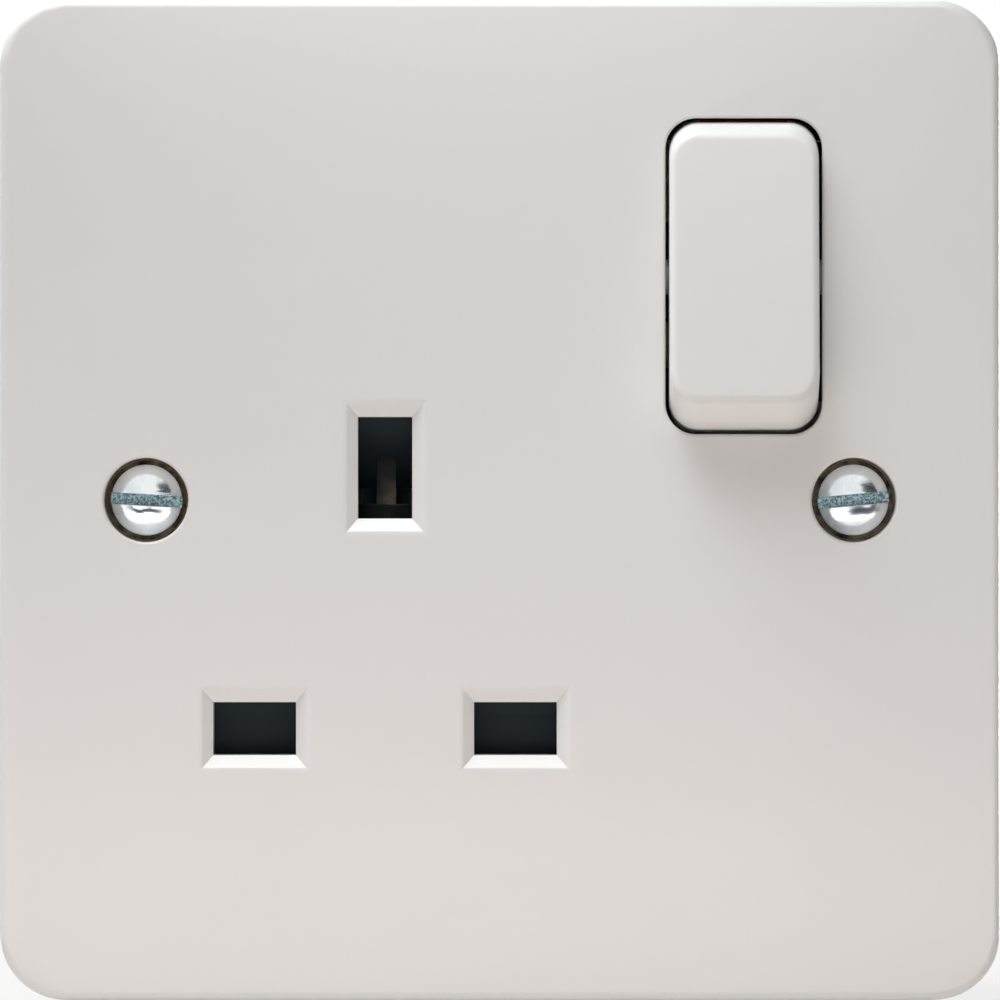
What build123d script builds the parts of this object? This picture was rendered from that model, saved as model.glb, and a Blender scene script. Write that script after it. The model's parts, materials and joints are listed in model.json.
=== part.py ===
from build123d import *
import os
from math import asin, copysign, cos, degrees, pi, radians, sin

# A single switched wall socket for three flat pins, in millimetres.
# X runs to the right, Z up and Y into the wall: the room is at -Y, and the back of the
# faceplate's rim lies in the wall plane Y = 0. Every piece is built in place, switched off.

# Faceplate
PLATE_SIDE = 86.0
PLATE_CORNER_R = 6.0
PLATE_DEPTH = 9.0
SIDE_DRAFT = 3.0
EDGE_R = 0.7
EDGE_STEPS = 3
FACE_T = 2.6
RIM_T = 2.4
HOLLOW_CORNER_R = 4.5
SOFT_EDGE = 0.25
FACE_Y = -PLATE_DEPTH
FACE_BACK_Y = FACE_Y + FACE_T
SEAT_Y = -0.2
RIB_T = 1.4
RIB_BACK_Y = -1.0
RIB_END_INSET = 1.5
RIB_START_Z = 34.0
UPPER_RIBS_X = (-25.0, -8.0, 8.0)
LOWER_RIBS_X = (-14.0, 14.0)
NOTCH_FLOOR = (5.0, 1.0)
OVERCUT = 1.0

# Pin openings: earth on top, neutral at the lower left, live at the lower right
PIN_PITCH = 22.23
PIN_X = -9.8
EARTH_Z = 2.75
LOWER_Z = EARTH_Z - PIN_PITCH
NEUTRAL_X = PIN_X - PIN_PITCH / 2
LIVE_X = PIN_X + PIN_PITCH / 2
EARTH_SLOT = (4.64, 8.67)
LOWER_SLOT = (7.06, 4.51)
BEVEL_SIDE = 1.08
BEVEL_END = 1.3
BEVEL_DEPTH = 0.9
BOSS_T = 1.5
BOSS_BACK_Y = -4.15
SLOTS = [
    (PIN_X, EARTH_Z, EARTH_SLOT),
    (NEUTRAL_X, LOWER_Z, LOWER_SLOT),
    (LIVE_X, LOWER_Z, LOWER_SLOT),
]

# Fixing screws, their wells in the plate and the brass eyelets under their heads
FIX_X = 30.15
WELL_R = 3.6
WELL_FLOOR_Y = -5.2
COLUMN_HALF = 4.8
EYELET_FLANGE = (3.4, 0.5)
EYELET_OUT_R = 2.1
EYELET_IN_R = 1.85
FIX_HEAD_R = 3.05
FIX_HEAD_H = 2.1
FIX_RIM_H = 0.9
DOME_STEPS = 2
FIX_NECK_R = 1.55
FIX_THREAD_R = 1.75
FIX_THREAD_Y = 1.3
FIX_LENGTH = 25.0
FIX_SLOT = (1.0, 1.1)
FIX_TURNS = {-FIX_X: -3.3, FIX_X: 5.2}
FIX_HEAD_Y = WELL_FLOOR_Y - EYELET_FLANGE[1]

# Rocker: its ends are arcs about the pivot, so the gap to the plate stays even as it tips
ROCKER_X = 20.76
ROCKER_Z = 19.06
PIVOT_Y = -5.5
ROCKER_W = 12.7
ROCKER_R = 13.43
ROCKER_CORNER_R = 2.5
ROCKER_CORNER_STEPS = 3
ROCKER_EDGE = 0.5
ROCKER_FACE_P = -6.5
ROCKER_BACK_P = 1.8
ROCKER_TILT = 8.4
ROCKER_WALL = 1.4
OPENING = (13.35, 26.91)
OPENING_CORNER_R = 2.6
OPENING_LIP = 0.8
SHROUD_HALF = (7.1, 14.1)
SHROUD_T = 1.5
TRUNNION_R = 1.5
TRUNNION_L = 1.95
TRUNNION_ROOT = 0.5
BEARING_GAP = 0.05
FLAG_SPAN = (-4.85, -1.5)
FLAG_W = 7.4
FLAG_T = 0.6

# Double-pole switch behind the rocker
POLE_OFFSET = 3.3
GUIDE_H = 5.4
GUIDE_ROOT = 0.3
GUIDE_BACK_P = 2.5
POCKET_W = 3.2
POCKET_P = -4.4
PLUNGER_X = 3.0
PLUNGER_W = 3.1
PLUNGER_BACK_P = -0.6
PLUNGER_TIP_P = 10.1
PLUNGER_TIP_R = 1.1
PLUNGER_TAPER_L = 1.2
ARM_PIVOT_Y = 5.5
ARM_PIVOT_R = 0.5
ARM_TILT = 7.0
ARM_BEND = 12.0
ARM_L = 8.9
ARM_W = 4.2
ARM_T = 0.8
ARM_CORNER = 1.0
TIP_W = 2.8
TIP_T = 0.7
TIP_EDGE = 0.25
TIP_AT = 7.2
TIP_GAP = 0.15
POST_H = 2.6

# Springs of square wire
COIL_STEPS = 8
PLUNGER_COIL = (1.15, 0.32, 3)
SHUTTER_COIL = (1.3, 0.38, 5)

# Tunnel terminals, clips and straps
BLOCK_W = 6.4
BLOCK_L = 7.0
BLOCK_FRONT_Y = 6.4
BLOCK_BACK_Y = 14.6
BLOCK_EDGE = 0.5
BLOCK_ROOM = 0.1
MOUTH_Z = 31.0
BORE_R = 2.4
BORE_DEPTH = 6.0
BORE_Y = 10.0
GRUB_R = 1.95
GRUB_HOLE_R = 2.0
GRUB_SPAN_Y = (12.5, 18.6)
GRUB_SLOT = (0.9, 1.1)
GRUB_TURN = 20.0
GRUB_ROOM = 0.15
GRUB_Z = MOUTH_Z - BORE_DEPTH / 2
LIVE_TERMINAL_X = 24.85
NEUTRAL_TERMINAL_X = 16.65
STRIP_T = 0.8
STRIP_BACK_Y = 11.3
EARTH_STRIP_BACK_Y = BLOCK_BACK_Y + STRIP_T
CLIP_W = 6.4
CLIP_LEAF = [(0.8, 3.2), (2.4, 1.65), (7.5, 1.9), (STRIP_BACK_Y - STRIP_T / 2, 2.6)]
CLIP_FOOT = 2.5
LIVE_RUN_X = (20.7, 23.3)
LIVE_TURN_Z = (9.4, 12.0)
NEUTRAL_RUN_HALF = 2.2
NEUTRAL_TURN_Z = (11.5, 15.5)
EARTH_CLIP_H = 6.2
EARTH_LEAF = [(1.9, 2.4), (3.6, 1.25), (9.0, 1.5), (EARTH_STRIP_BACK_Y - STRIP_T / 2, 2.1)]
EARTH_STRIP_HALF = 2.5
STRAP_Z = (-9.5, -5.5)
STRAP_END_X = 21.5
STRAP_EYE_R = 4.3
STRAP_EYE_SIDES = 8
STRAP_ROOM = 0.25
STRAP_ARM_X = FIX_X - 1.0
STRAP_ARM_Z = (-3.2, 2.2)
STRAP_ARM_ROOT = 3.0
STRAP_TAB_Z = (-8.3, -7.5)

# Rear base, its lug notches and its screws
BASE_W = 59.0
BASE_H = 65.0
BASE_CORNER_R = 3.5
BASE_BACK_Y = 19.0
NOTCH_X = 25.2
NOTCH_H = 15.0
NOTCH_CUT = 10.0
POSTS = [(-25.0, 27.0), (25.0, -28.0)]
POST_HALF = 3.1
POST_PILOT_R = 1.45
POST_HOLE_R = 1.7
PILOT_DEPTH = 5.3
LEDGE_Y = 6.0
LEDGE_HALF = 3.9
SCREW_HEAD = (2.7, 2.2)
SCREW_L = 10.6
SCREW_CROSS = (3.0, 0.7, 1.2)
SCREW_TURN = 30.0
ENTRY_W = 6.0
ENTRY_OVERCUT = 0.5
ACCESS_W = 5.0
CORE_FLOOR_Y = 3.0
ROOM = 0.3
SWITCH_LIP_Y = 1.6
SWITCH_LIP_X = 12.3
SWITCH_LIP_ROOT = 5.0
FINGER_T = 1.2
FINGER_ROOM = 0.1
ARM_POCKETS_X = [(15.1, 20.16), (21.36, 26.46)]
ARM_POCKET_Z = (9.4, 28.6)
EARTH_CLIP_POCKET_Z = (-2.2, 8.0)
EARTH_CLIP_POCKET_HALF = 4.6
EARTH_STRIP_POCKET_Z = -25.0
CLIP_POCKET_HALF = (3.6, 4.1)

# Cores in the back of the base, each as its spans in x and z
REAR_CORES = [
    (-20.0, -9.0, 22.7, 31.0),
    (-7.6, 11.4, 22.7, 31.0),
    (-20.0, -9.0, 17.0, 21.3),
    (-7.6, 11.4, 17.0, 21.3),
    (-3.6, 6.9, -13.8, 7.9),
    (8.3, 18.9, -13.8, 7.9),
    (-0.9, 8.9, -31.0, -24.9),
    (10.3, 19.7, -31.0, -24.0),
    (-28.0, -24.8, 9.0, 21.6),
    (25.0, 28.0, -22.6, -9.0),
    (-28.0, -15.0, -31.0, -25.2),
]

# Shutter and the deck it slides on
SHUTTER_FRONT_Y = -4.0
SHUTTER_BACK_Y = -2.15
DECK_FRONT_Y = -2.0
SHUTTER_TRAVEL = 5.9
PAD_HALF_W = 5.0
PAD_HALF_H = 3.3
PAD_STEP = 0.4
PAD_STEP_HALF_W = 4.2
PAD_STEP_TOP = 1.05
YOKE_HALF_W = 4.1
YOKE_HOLE_HALF_W = 2.5
YOKE_HOLE_FOOT_Z = -7.5
RAMP_TOP_Z = 6.9
RAMP_HEAD_Z = 8.5
RAMP_BACK_Z = 4.5
RAMP_ROOM = 0.4
RAMP_FOOT = (1.0, 1.0)
RAMP_SLOT = 1.7
RAMP_SLOT_TOP_Z = 3.8
SPRING_SEAT_Z = 9.7
SPRING_STOP_Z = 20.0
SPRING_Y = -3.8
SPRING_STOP = (7.0, 1.5)
SPRING_SHELF_T = 0.9
SPRING_SHELF_Y = -5.4
SPIGOT_W = 1.3
SPIGOT_H = 1.4
DECK_GAP = 0.2
DECK_FOOT_Z = -24.4
DECK_STEP_Z = 2.9
DECK_STEP_X = 12.0
DECK_TOP_Z = 23.4
DECK_TAIL_Z = -31.6
DECK_EAR_INSET = 1.0
DECK_EARTH_HOLE = (4.7, 8.7)
DECK_PIN_HOLE = (7.2, 4.7)
RAIL_GAP = 0.9
RAIL_T = 1.4
RAIL_H = 1.9
RAIL_SPAN = (-4.0, 10.0)


def at_y(y):
    """Sketch plane at depth y as seen from the room; a positive extrude comes towards the room."""
    return Plane.XZ.offset(-y)


def bounds(x0, x1, y0, y1, mode=Mode.ADD):
    """Rectangle between two corners of the sketch."""
    with Locations(((x0 + x1) / 2, (y0 + y1) / 2)):
        Rectangle(x1 - x0, y1 - y0, mode=mode)


def tipped(x, y, z, angle):
    """Side plane at a pivot, turned so that its inward axis leans by the angle."""
    lean = radians(angle)
    return Plane(origin=(x, y, z), x_dir=(0, cos(lean), sin(lean)), z_dir=(1, 0, 0))


def coil_points(seat, radius, length, turns):
    """Corners of a coil that climbs steadily from a seat plane along the plane's normal."""
    steps = COIL_STEPS * turns
    points = []
    for step in range(steps + 1):
        angle = 2 * pi * step / COIL_STEPS
        points.append((radius * cos(angle), radius * sin(angle), length * step / steps))
    return [seat.from_local_coords(point) for point in points]


def keep(builder, name):
    """Name a finished piece and write its file."""
    builder.part.label = name
    export_step(builder.part, f"parts/{name}.step")


os.makedirs("parts", exist_ok=True)

rocker_side = tipped(ROCKER_X, PIVOT_Y, ROCKER_Z, -ROCKER_TILT)
inward = rocker_side.x_dir
rocker_front = Plane(origin=rocker_side.origin, x_dir=(1, 0, 0), z_dir=inward)
poles = {
    "live": (ROCKER_X + POLE_OFFSET, PLUNGER_X),
    "neutral": (ROCKER_X - POLE_OFFSET, -PLUNGER_X),
}

# Faceplate: drafted square with rounded edge, hollow behind
with BuildPart() as front_plate:
    with BuildSketch(at_y(0)):
        RectangleRounded(PLATE_SIDE, PLATE_SIDE, PLATE_CORNER_R)
    edge_rise = EDGE_R * (1 - sin(radians(SIDE_DRAFT)))
    extrude(amount=PLATE_DEPTH - edge_rise, taper=SIDE_DRAFT)
    # the edge rolls over to the face in drafted steps, each a chord of the edge radius
    turn = (90 - SIDE_DRAFT) / EDGE_STEPS
    for step in range(EDGE_STEPS):
        low = radians(SIDE_DRAFT + step * turn)
        high = radians(SIDE_DRAFT + (step + 1) * turn)
        rise = EDGE_R * (sin(high) - sin(low))
        extrude(front_plate.faces().sort_by(Axis.Y)[0], amount=rise, taper=degrees(low + high) / 2)
    with BuildSketch(at_y(0)):
        RectangleRounded(PLATE_SIDE - 2 * RIM_T, PLATE_SIDE - 2 * RIM_T, HOLLOW_CORNER_R)
    extrude(amount=PLATE_DEPTH - FACE_T, mode=Mode.SUBTRACT)
    # walls around the rocker with a floor over the lug notch, screw blocks and posts for the base
    with BuildSketch(at_y(SEAT_Y)):
        shroud_w, shroud_h = (2 * half for half in SHROUD_HALF)
        with Locations((ROCKER_X, ROCKER_Z)):
            Rectangle(shroud_w + 2 * SHROUD_T, shroud_h + 2 * SHROUD_T)
            Rectangle(shroud_w, shroud_h, mode=Mode.SUBTRACT)
        with Locations((-FIX_X, 0), (FIX_X, 0)):
            Rectangle(2 * COLUMN_HALF, 2 * COLUMN_HALF)
        with Locations(*POSTS):
            Rectangle(2 * POST_HALF, 2 * POST_HALF)
    extrude(amount=SEAT_Y - FACE_BACK_Y)
    with BuildSketch(at_y(SEAT_Y)):
        corner_x = ROCKER_X + SHROUD_HALF[0] + SHROUD_T
        corner_z = ROCKER_Z - SHROUD_HALF[1] - SHROUD_T
        bounds(corner_x - NOTCH_FLOOR[0], corner_x, corner_z, corner_z + NOTCH_FLOOR[0])
    extrude(amount=NOTCH_FLOOR[1])
    # ribs from the blocks to the rim and along the upper and lower edges, and the shutter spring's stop
    with BuildSketch(at_y(RIB_BACK_Y)):
        rim_inside = PLATE_SIDE / 2 - RIB_END_INSET
        for side in (-1, 1):
            with Locations((side * (FIX_X + rim_inside) / 2, 0)):
                Rectangle(rim_inside - FIX_X, RIB_T)
        for x in LOWER_RIBS_X:
            bounds(x - RIB_T / 2, x + RIB_T / 2, -rim_inside, -RIB_START_Z)
        for x in UPPER_RIBS_X:
            bounds(x - RIB_T / 2, x + RIB_T / 2, RIB_START_Z, rim_inside)
    extrude(amount=RIB_BACK_Y - FACE_BACK_Y)
    with BuildSketch(at_y(DECK_FRONT_Y - DECK_GAP)):
        stop_w, stop_t = SPRING_STOP
        bounds(PIN_X - stop_w / 2, PIN_X + stop_w / 2, SPRING_STOP_Z, SPRING_STOP_Z + stop_t)
    extrude(amount=DECK_FRONT_Y - DECK_GAP - FACE_BACK_Y)
    # bosses behind the pin openings, the openings, and the bevel around each
    with BuildSketch(at_y(BOSS_BACK_Y)):
        for x, z, (w, h) in SLOTS:
            with Locations((x, z)):
                Rectangle(w + 2 * BOSS_T, h + 2 * BOSS_T)
    extrude(amount=BOSS_BACK_Y - FACE_BACK_Y)
    with BuildSketch(at_y(BOSS_BACK_Y)):
        for x, z, (w, h) in SLOTS:
            with Locations((x, z)):
                Rectangle(w, h)
    extrude(amount=BOSS_BACK_Y - FACE_Y, mode=Mode.SUBTRACT)
    for x, z, (w, h) in SLOTS:
        wide_x, wide_z, floor_y = w / 2 + BEVEL_SIDE, h / 2 + BEVEL_END, FACE_Y + BEVEL_DEPTH
        with BuildPart(mode=Mode.SUBTRACT):
            with BuildSketch(Plane.XY.offset(z)):
                left = (x - wide_x, FACE_Y), (x - w / 2, floor_y)
                right = (x + w / 2, floor_y), (x + wide_x, FACE_Y)
                Polygon(*left, *right, align=None)
            extrude(amount=wide_z, both=True)
            with BuildSketch(Plane.YZ.offset(x)):
                low = (FACE_Y, z - wide_z), (floor_y, z - h / 2)
                high = (floor_y, z + h / 2), (FACE_Y, z + wide_z)
                Polygon(*low, *high, align=None)
            extrude(amount=wide_x, both=True, mode=Mode.INTERSECT)
    # screw wells with the eyelet holes, and the pilot holes in the posts
    with BuildSketch(at_y(WELL_FLOOR_Y)):
        with Locations((-FIX_X, 0), (FIX_X, 0)):
            Circle(WELL_R)
    extrude(amount=WELL_FLOOR_Y - FACE_Y, mode=Mode.SUBTRACT)
    with BuildSketch(at_y(SEAT_Y)):
        with Locations((-FIX_X, 0), (FIX_X, 0)):
            Circle(EYELET_OUT_R + BEARING_GAP)
    extrude(amount=SEAT_Y - WELL_FLOOR_Y, mode=Mode.SUBTRACT)
    with BuildSketch(at_y(SEAT_Y)):
        with Locations(*POSTS):
            Circle(POST_PILOT_R)
    extrude(amount=PILOT_DEPTH, mode=Mode.SUBTRACT)
    # rocker opening in a thin lip, wider behind, and the bearing slots its trunnions drop into from behind
    with BuildSketch(at_y(FACE_Y)):
        with Locations((ROCKER_X, ROCKER_Z)):
            RectangleRounded(*OPENING, OPENING_CORNER_R)
    extrude(amount=-FACE_T, mode=Mode.SUBTRACT)
    with BuildSketch(at_y(FACE_BACK_Y)):
        with Locations((ROCKER_X, ROCKER_Z)):
            Rectangle(shroud_w, shroud_h)
    extrude(amount=FACE_T - OPENING_LIP, mode=Mode.SUBTRACT)
    with BuildSketch(Plane.YZ.offset(ROCKER_X)):
        bearing_r = TRUNNION_R + BEARING_GAP
        with Locations((PIVOT_Y, ROCKER_Z)):
            Circle(bearing_r)
        bounds(PIVOT_Y, 0, ROCKER_Z - bearing_r, ROCKER_Z + bearing_r)
    extrude(amount=SHROUD_HALF[0] + SHROUD_T + BEARING_GAP, both=True, mode=Mode.SUBTRACT)
    # broken edges round every opening of the face
    face = front_plate.faces().sort_by(Axis.Y)[0]
    chamfer([edge for wire in face.inner_wires() for edge in wire.edges()], SOFT_EDGE)
keep(front_plate, "front_plate")

# Rocker, built tipped to its off position
with BuildPart() as rocker:
    # both ends are turned about the pivot, with their corners rolled off in short chords
    with BuildSketch(rocker_front):
        corner = []
        for step in range(ROCKER_CORNER_STEPS + 1):
            angle = pi / 2 * step / ROCKER_CORNER_STEPS
            corner_x = ROCKER_W / 2 - ROCKER_CORNER_R * (1 - cos(angle))
            corner.append((corner_x, ROCKER_R - ROCKER_CORNER_R * (1 - sin(angle))))
        mirrored = [(-x, r) for x, r in reversed(corner)]
        Polygon((ROCKER_W / 2, 0), *corner, *mirrored, (-ROCKER_W / 2, 0), align=None)
    revolve(axis=Axis(rocker_side.origin, (1, 0, 0)))
    with BuildSketch(rocker_side):
        bounds(ROCKER_FACE_P, ROCKER_BACK_P, -2 * ROCKER_R, 2 * ROCKER_R)
    extrude(amount=ROCKER_W, both=True, mode=Mode.INTERSECT)
    through = Axis(rocker_side.origin, inward)
    chamfer(rocker.faces().sort_by(through)[0].edges(), ROCKER_EDGE)
    # hollow from behind
    with BuildSketch(rocker_side):
        Circle(ROCKER_R - ROCKER_WALL)
        hollow_p = (ROCKER_FACE_P + ROCKER_WALL, ROCKER_BACK_P + OVERCUT)
        bounds(*hollow_p, -ROCKER_R, ROCKER_R, mode=Mode.INTERSECT)
    extrude(amount=ROCKER_W / 2 - ROCKER_WALL, both=True, mode=Mode.SUBTRACT)
    # guide across the middle with a pocket for each plunger, and the trunnions
    guide_p = ROCKER_FACE_P + ROCKER_WALL - GUIDE_ROOT
    with BuildSketch(rocker_front.offset(guide_p)):
        Rectangle(ROCKER_W - ROCKER_WALL, GUIDE_H)
    extrude(amount=GUIDE_BACK_P - guide_p)
    with BuildSketch(rocker_front.offset(POCKET_P)):
        with Locations((-PLUNGER_X, 0), (PLUNGER_X, 0)):
            Rectangle(POCKET_W, POCKET_W)
    extrude(amount=GUIDE_BACK_P - POCKET_P, mode=Mode.SUBTRACT)
    for side in (-1, 1):
        with BuildSketch(rocker_side.offset(side * (ROCKER_W / 2 - TRUNNION_ROOT))):
            Circle(TRUNNION_R)
        extrude(amount=side * (TRUNNION_L + TRUNNION_ROOT))
    # pocket for the flag in the upper end
    with BuildSketch(rocker_side):
        Circle(ROCKER_R + OVERCUT)
        Circle(ROCKER_R - FLAG_T, mode=Mode.SUBTRACT)
        with Locations((sum(FLAG_SPAN) / 2, ROCKER_R)):
            Rectangle(FLAG_SPAN[1] - FLAG_SPAN[0], ROCKER_R, mode=Mode.INTERSECT)
    extrude(amount=FLAG_W / 2, both=True, mode=Mode.SUBTRACT)
keep(rocker, "rocker")

with BuildPart() as on_flag:
    with BuildSketch(rocker_side):
        Circle(ROCKER_R)
        Circle(ROCKER_R - FLAG_T, mode=Mode.SUBTRACT)
        with Locations((sum(FLAG_SPAN) / 2, ROCKER_R)):
            Rectangle(FLAG_SPAN[1] - FLAG_SPAN[0], ROCKER_R, mode=Mode.INTERSECT)
    extrude(amount=FLAG_W / 2, both=True)
keep(on_flag, "on_flag")

# Each pole: a sprung plunger in the rocker, a bent seesaw arm, and a pair of silver tips
for pole, (pole_x, plunger_x) in poles.items():
    with BuildPart() as plunger:
        with BuildSketch(rocker_side.offset(plunger_x)):
            nose_p = PLUNGER_TIP_P - PLUNGER_TIP_R
            Polygon(
                (PLUNGER_BACK_P, -PLUNGER_W / 2),
                (nose_p - PLUNGER_TAPER_L, -PLUNGER_W / 2),
                (nose_p, -PLUNGER_TIP_R),
                (nose_p, PLUNGER_TIP_R),
                (nose_p - PLUNGER_TAPER_L, PLUNGER_W / 2),
                (PLUNGER_BACK_P, PLUNGER_W / 2),
                align=None,
            )
            with Locations((nose_p, 0)):
                Circle(PLUNGER_TIP_R)
        extrude(amount=PLUNGER_W / 2, both=True)
    keep(plunger, f"{pole}_plunger")

    with BuildPart() as plunger_spring:
        coil_r, wire_t, turns = PLUNGER_COIL
        seat_at = rocker_front.from_local_coords((plunger_x, 0, POCKET_P + wire_t / 2))
        seat = Plane(origin=seat_at, x_dir=(1, 0, 0), z_dir=inward)
        with BuildLine() as coil:
            Polyline(*coil_points(seat, coil_r, PLUNGER_BACK_P - POCKET_P - wire_t, turns))
        with BuildSketch(Plane(origin=coil.line @ 0, z_dir=coil.line % 0)):
            Rectangle(wire_t, wire_t)
        sweep(transition=Transition.RIGHT)
    keep(plunger_spring, f"{pole}_plunger_spring")

    arm_side = tipped(pole_x, ARM_PIVOT_Y, ROCKER_Z, ARM_TILT)
    bend = radians(ARM_BEND)
    end = (-ARM_L * sin(bend), ARM_L * cos(bend))
    end_front = (end[0] - ARM_T * cos(bend), end[1] - ARM_T * sin(bend))
    with BuildPart() as arm:
        with BuildSketch(arm_side):
            Polygon(
                (0, 0),
                end,
                end_front,
                (-ARM_T / cos(bend), 0),
                (end_front[0], -end_front[1]),
                (end[0], -end[1]),
                align=None,
            )
        extrude(amount=ARM_W / 2, both=True)
        corners = arm.edges().filter_by(lambda edge: abs(edge.length - ARM_T) < 1e-3)
        chamfer(corners, ARM_CORNER)
        # round rib that rocks on the post
        with BuildSketch(arm_side):
            Circle(ARM_PIVOT_R)
        extrude(amount=ARM_W / 2, both=True)
    keep(arm, f"{pole}_switch_arm")

    lean = radians(ARM_TILT + ARM_BEND)
    tip_at = arm_side.from_local_coords((-TIP_AT * sin(bend), TIP_AT * cos(bend), 0))
    with BuildPart() as moving_tip:
        with BuildSketch(Plane(origin=tip_at, x_dir=(1, 0, 0), z_dir=(0, cos(lean), sin(lean)))):
            Rectangle(TIP_W, TIP_W)
        extrude(amount=TIP_T)
        crown = Axis(tip_at, (0, cos(lean), sin(lean)))
        chamfer(moving_tip.faces().sort_by(crown)[-1].edges(), TIP_EDGE)
    keep(moving_tip, f"{pole}_moving_tip")

    made = radians(ARM_BEND - ARM_TILT)
    made_y = ARM_PIVOT_Y - TIP_AT * sin(made) + TIP_T * cos(made) + TIP_GAP
    made_z = ROCKER_Z + TIP_AT * cos(made) + TIP_T * sin(made)
    with BuildPart() as fixed_tip:
        with BuildSketch(at_y(BLOCK_FRONT_Y)):
            with Locations((pole_x, made_z)):
                Rectangle(TIP_W, TIP_W)
        extrude(amount=BLOCK_FRONT_Y - made_y)
        chamfer(fixed_tip.faces().sort_by(Axis.Y)[0].edges(), TIP_EDGE)
    keep(fixed_tip, f"{pole}_fixed_tip")

# Tunnel terminals: live and neutral open upwards, earth downwards
terminals = {
    "live_terminal": (LIVE_TERMINAL_X, 1),
    "neutral_terminal": (NEUTRAL_TERMINAL_X, 1),
    "earth_terminal": (PIN_X, -1),
}
grub_spots = [(x, up * GRUB_Z) for x, up in terminals.values()]
for name, (x, up) in terminals.items():
    with BuildPart() as terminal:
        with BuildSketch(Plane.XY.offset(up * MOUTH_Z)):
            with Locations((x, (BLOCK_FRONT_Y + BLOCK_BACK_Y) / 2)):
                Rectangle(BLOCK_W, BLOCK_BACK_Y - BLOCK_FRONT_Y)
        extrude(amount=-up * BLOCK_L)
        chamfer(terminal.edges().filter_by(Axis.Z), BLOCK_EDGE)
        with BuildSketch(Plane.XY.offset(up * MOUTH_Z)):
            with Locations((x, BORE_Y)):
                Circle(BORE_R)
        extrude(amount=-up * BORE_DEPTH, mode=Mode.SUBTRACT)
        with BuildSketch(at_y(BLOCK_BACK_Y)):
            with Locations((x, up * GRUB_Z)):
                Circle(GRUB_HOLE_R)
        extrude(amount=BLOCK_BACK_Y - BORE_Y, mode=Mode.SUBTRACT)
    keep(terminal, name)

# Grub screws of the terminals, backed out clear of the bores
with BuildPart() as terminal_screws:
    with BuildSketch(at_y(GRUB_SPAN_Y[1])):
        with Locations(*grub_spots):
            Circle(GRUB_R)
    extrude(amount=GRUB_SPAN_Y[1] - GRUB_SPAN_Y[0])
    with BuildSketch(at_y(GRUB_SPAN_Y[1])):
        with Locations(*grub_spots):
            Rectangle(3 * GRUB_R, GRUB_SLOT[0], rotation=GRUB_TURN)
    extrude(amount=GRUB_SLOT[1], mode=Mode.SUBTRACT)
keep(terminal_screws, "terminal_screws")

# Live and neutral clips: a bent spring clip for the pin, a flat strip and a post under the arm
live_x, neutral_x = poles["live"][0], poles["neutral"][0]
live_strip = [
    (LIVE_X - CLIP_W / 2, LIVE_RUN_X[1], LOWER_Z - CLIP_FOOT, LOWER_Z + CLIP_FOOT),
    (*LIVE_RUN_X, LOWER_Z + CLIP_FOOT, LIVE_TURN_Z[1]),
    (LIVE_RUN_X[0], live_x + ARM_W / 2, *LIVE_TURN_Z),
    (live_x - ARM_W / 2, live_x + ARM_W / 2, LIVE_TURN_Z[1], ROCKER_Z + POST_H / 2),
]
neutral_strip = [
    (NEUTRAL_X - NEUTRAL_RUN_HALF, NEUTRAL_X + NEUTRAL_RUN_HALF, LOWER_Z - CLIP_FOOT, NEUTRAL_TURN_Z[1]),
    (NEUTRAL_X - NEUTRAL_RUN_HALF, neutral_x + ARM_W / 2, *NEUTRAL_TURN_Z),
    (neutral_x - ARM_W / 2, neutral_x + ARM_W / 2, NEUTRAL_TURN_Z[1], ROCKER_Z + POST_H / 2),
]
strips = {"live": (LIVE_X, live_strip), "neutral": (NEUTRAL_X, neutral_strip)}
for pole, (clip_x, strip) in strips.items():
    with BuildPart() as contact:
        with BuildSketch(Plane.YZ.offset(clip_x - CLIP_W / 2)):
            with BuildLine():
                upper = [(y, LOWER_Z + z) for y, z in CLIP_LEAF]
                lower = [(y, LOWER_Z - z) for y, z in reversed(CLIP_LEAF)]
                Polyline(*upper, *lower)
            trace(line_width=STRIP_T)
        extrude(amount=CLIP_W)
        with BuildSketch(at_y(STRIP_BACK_Y)):
            for x0, x1, z0, z1 in strip:
                bounds(x0, x1, z0, z1)
        extrude(amount=STRIP_T)
        with BuildSketch(at_y(STRIP_BACK_Y - STRIP_T)):
            with Locations((poles[pole][0], ROCKER_Z)):
                Rectangle(ARM_W, POST_H)
        extrude(amount=STRIP_BACK_Y - STRIP_T - ARM_PIVOT_Y - ARM_PIVOT_R - BEARING_GAP)
    keep(contact, f"{pole}_contact")

# Earth clip with its strip down to the earth terminal
with BuildPart() as earth_contact:
    with BuildSketch(Plane.XY.offset(EARTH_Z - EARTH_CLIP_H / 2)):
        with BuildLine():
            left = [(PIN_X - x, y) for y, x in EARTH_LEAF]
            right = [(PIN_X + x, y) for y, x in reversed(EARTH_LEAF)]
            Polyline(*left, *right)
        trace(line_width=STRIP_T)
    extrude(amount=EARTH_CLIP_H)
    with BuildSketch(at_y(EARTH_STRIP_BACK_Y)):
        strip_z = (-GRUB_Z + GRUB_R + GRUB_ROOM, EARTH_Z + EARTH_CLIP_H / 2)
        bounds(PIN_X - EARTH_STRIP_HALF, PIN_X + EARTH_STRIP_HALF, *strip_z)
    extrude(amount=STRIP_T)
keep(earth_contact, "earth_contact")


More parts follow.
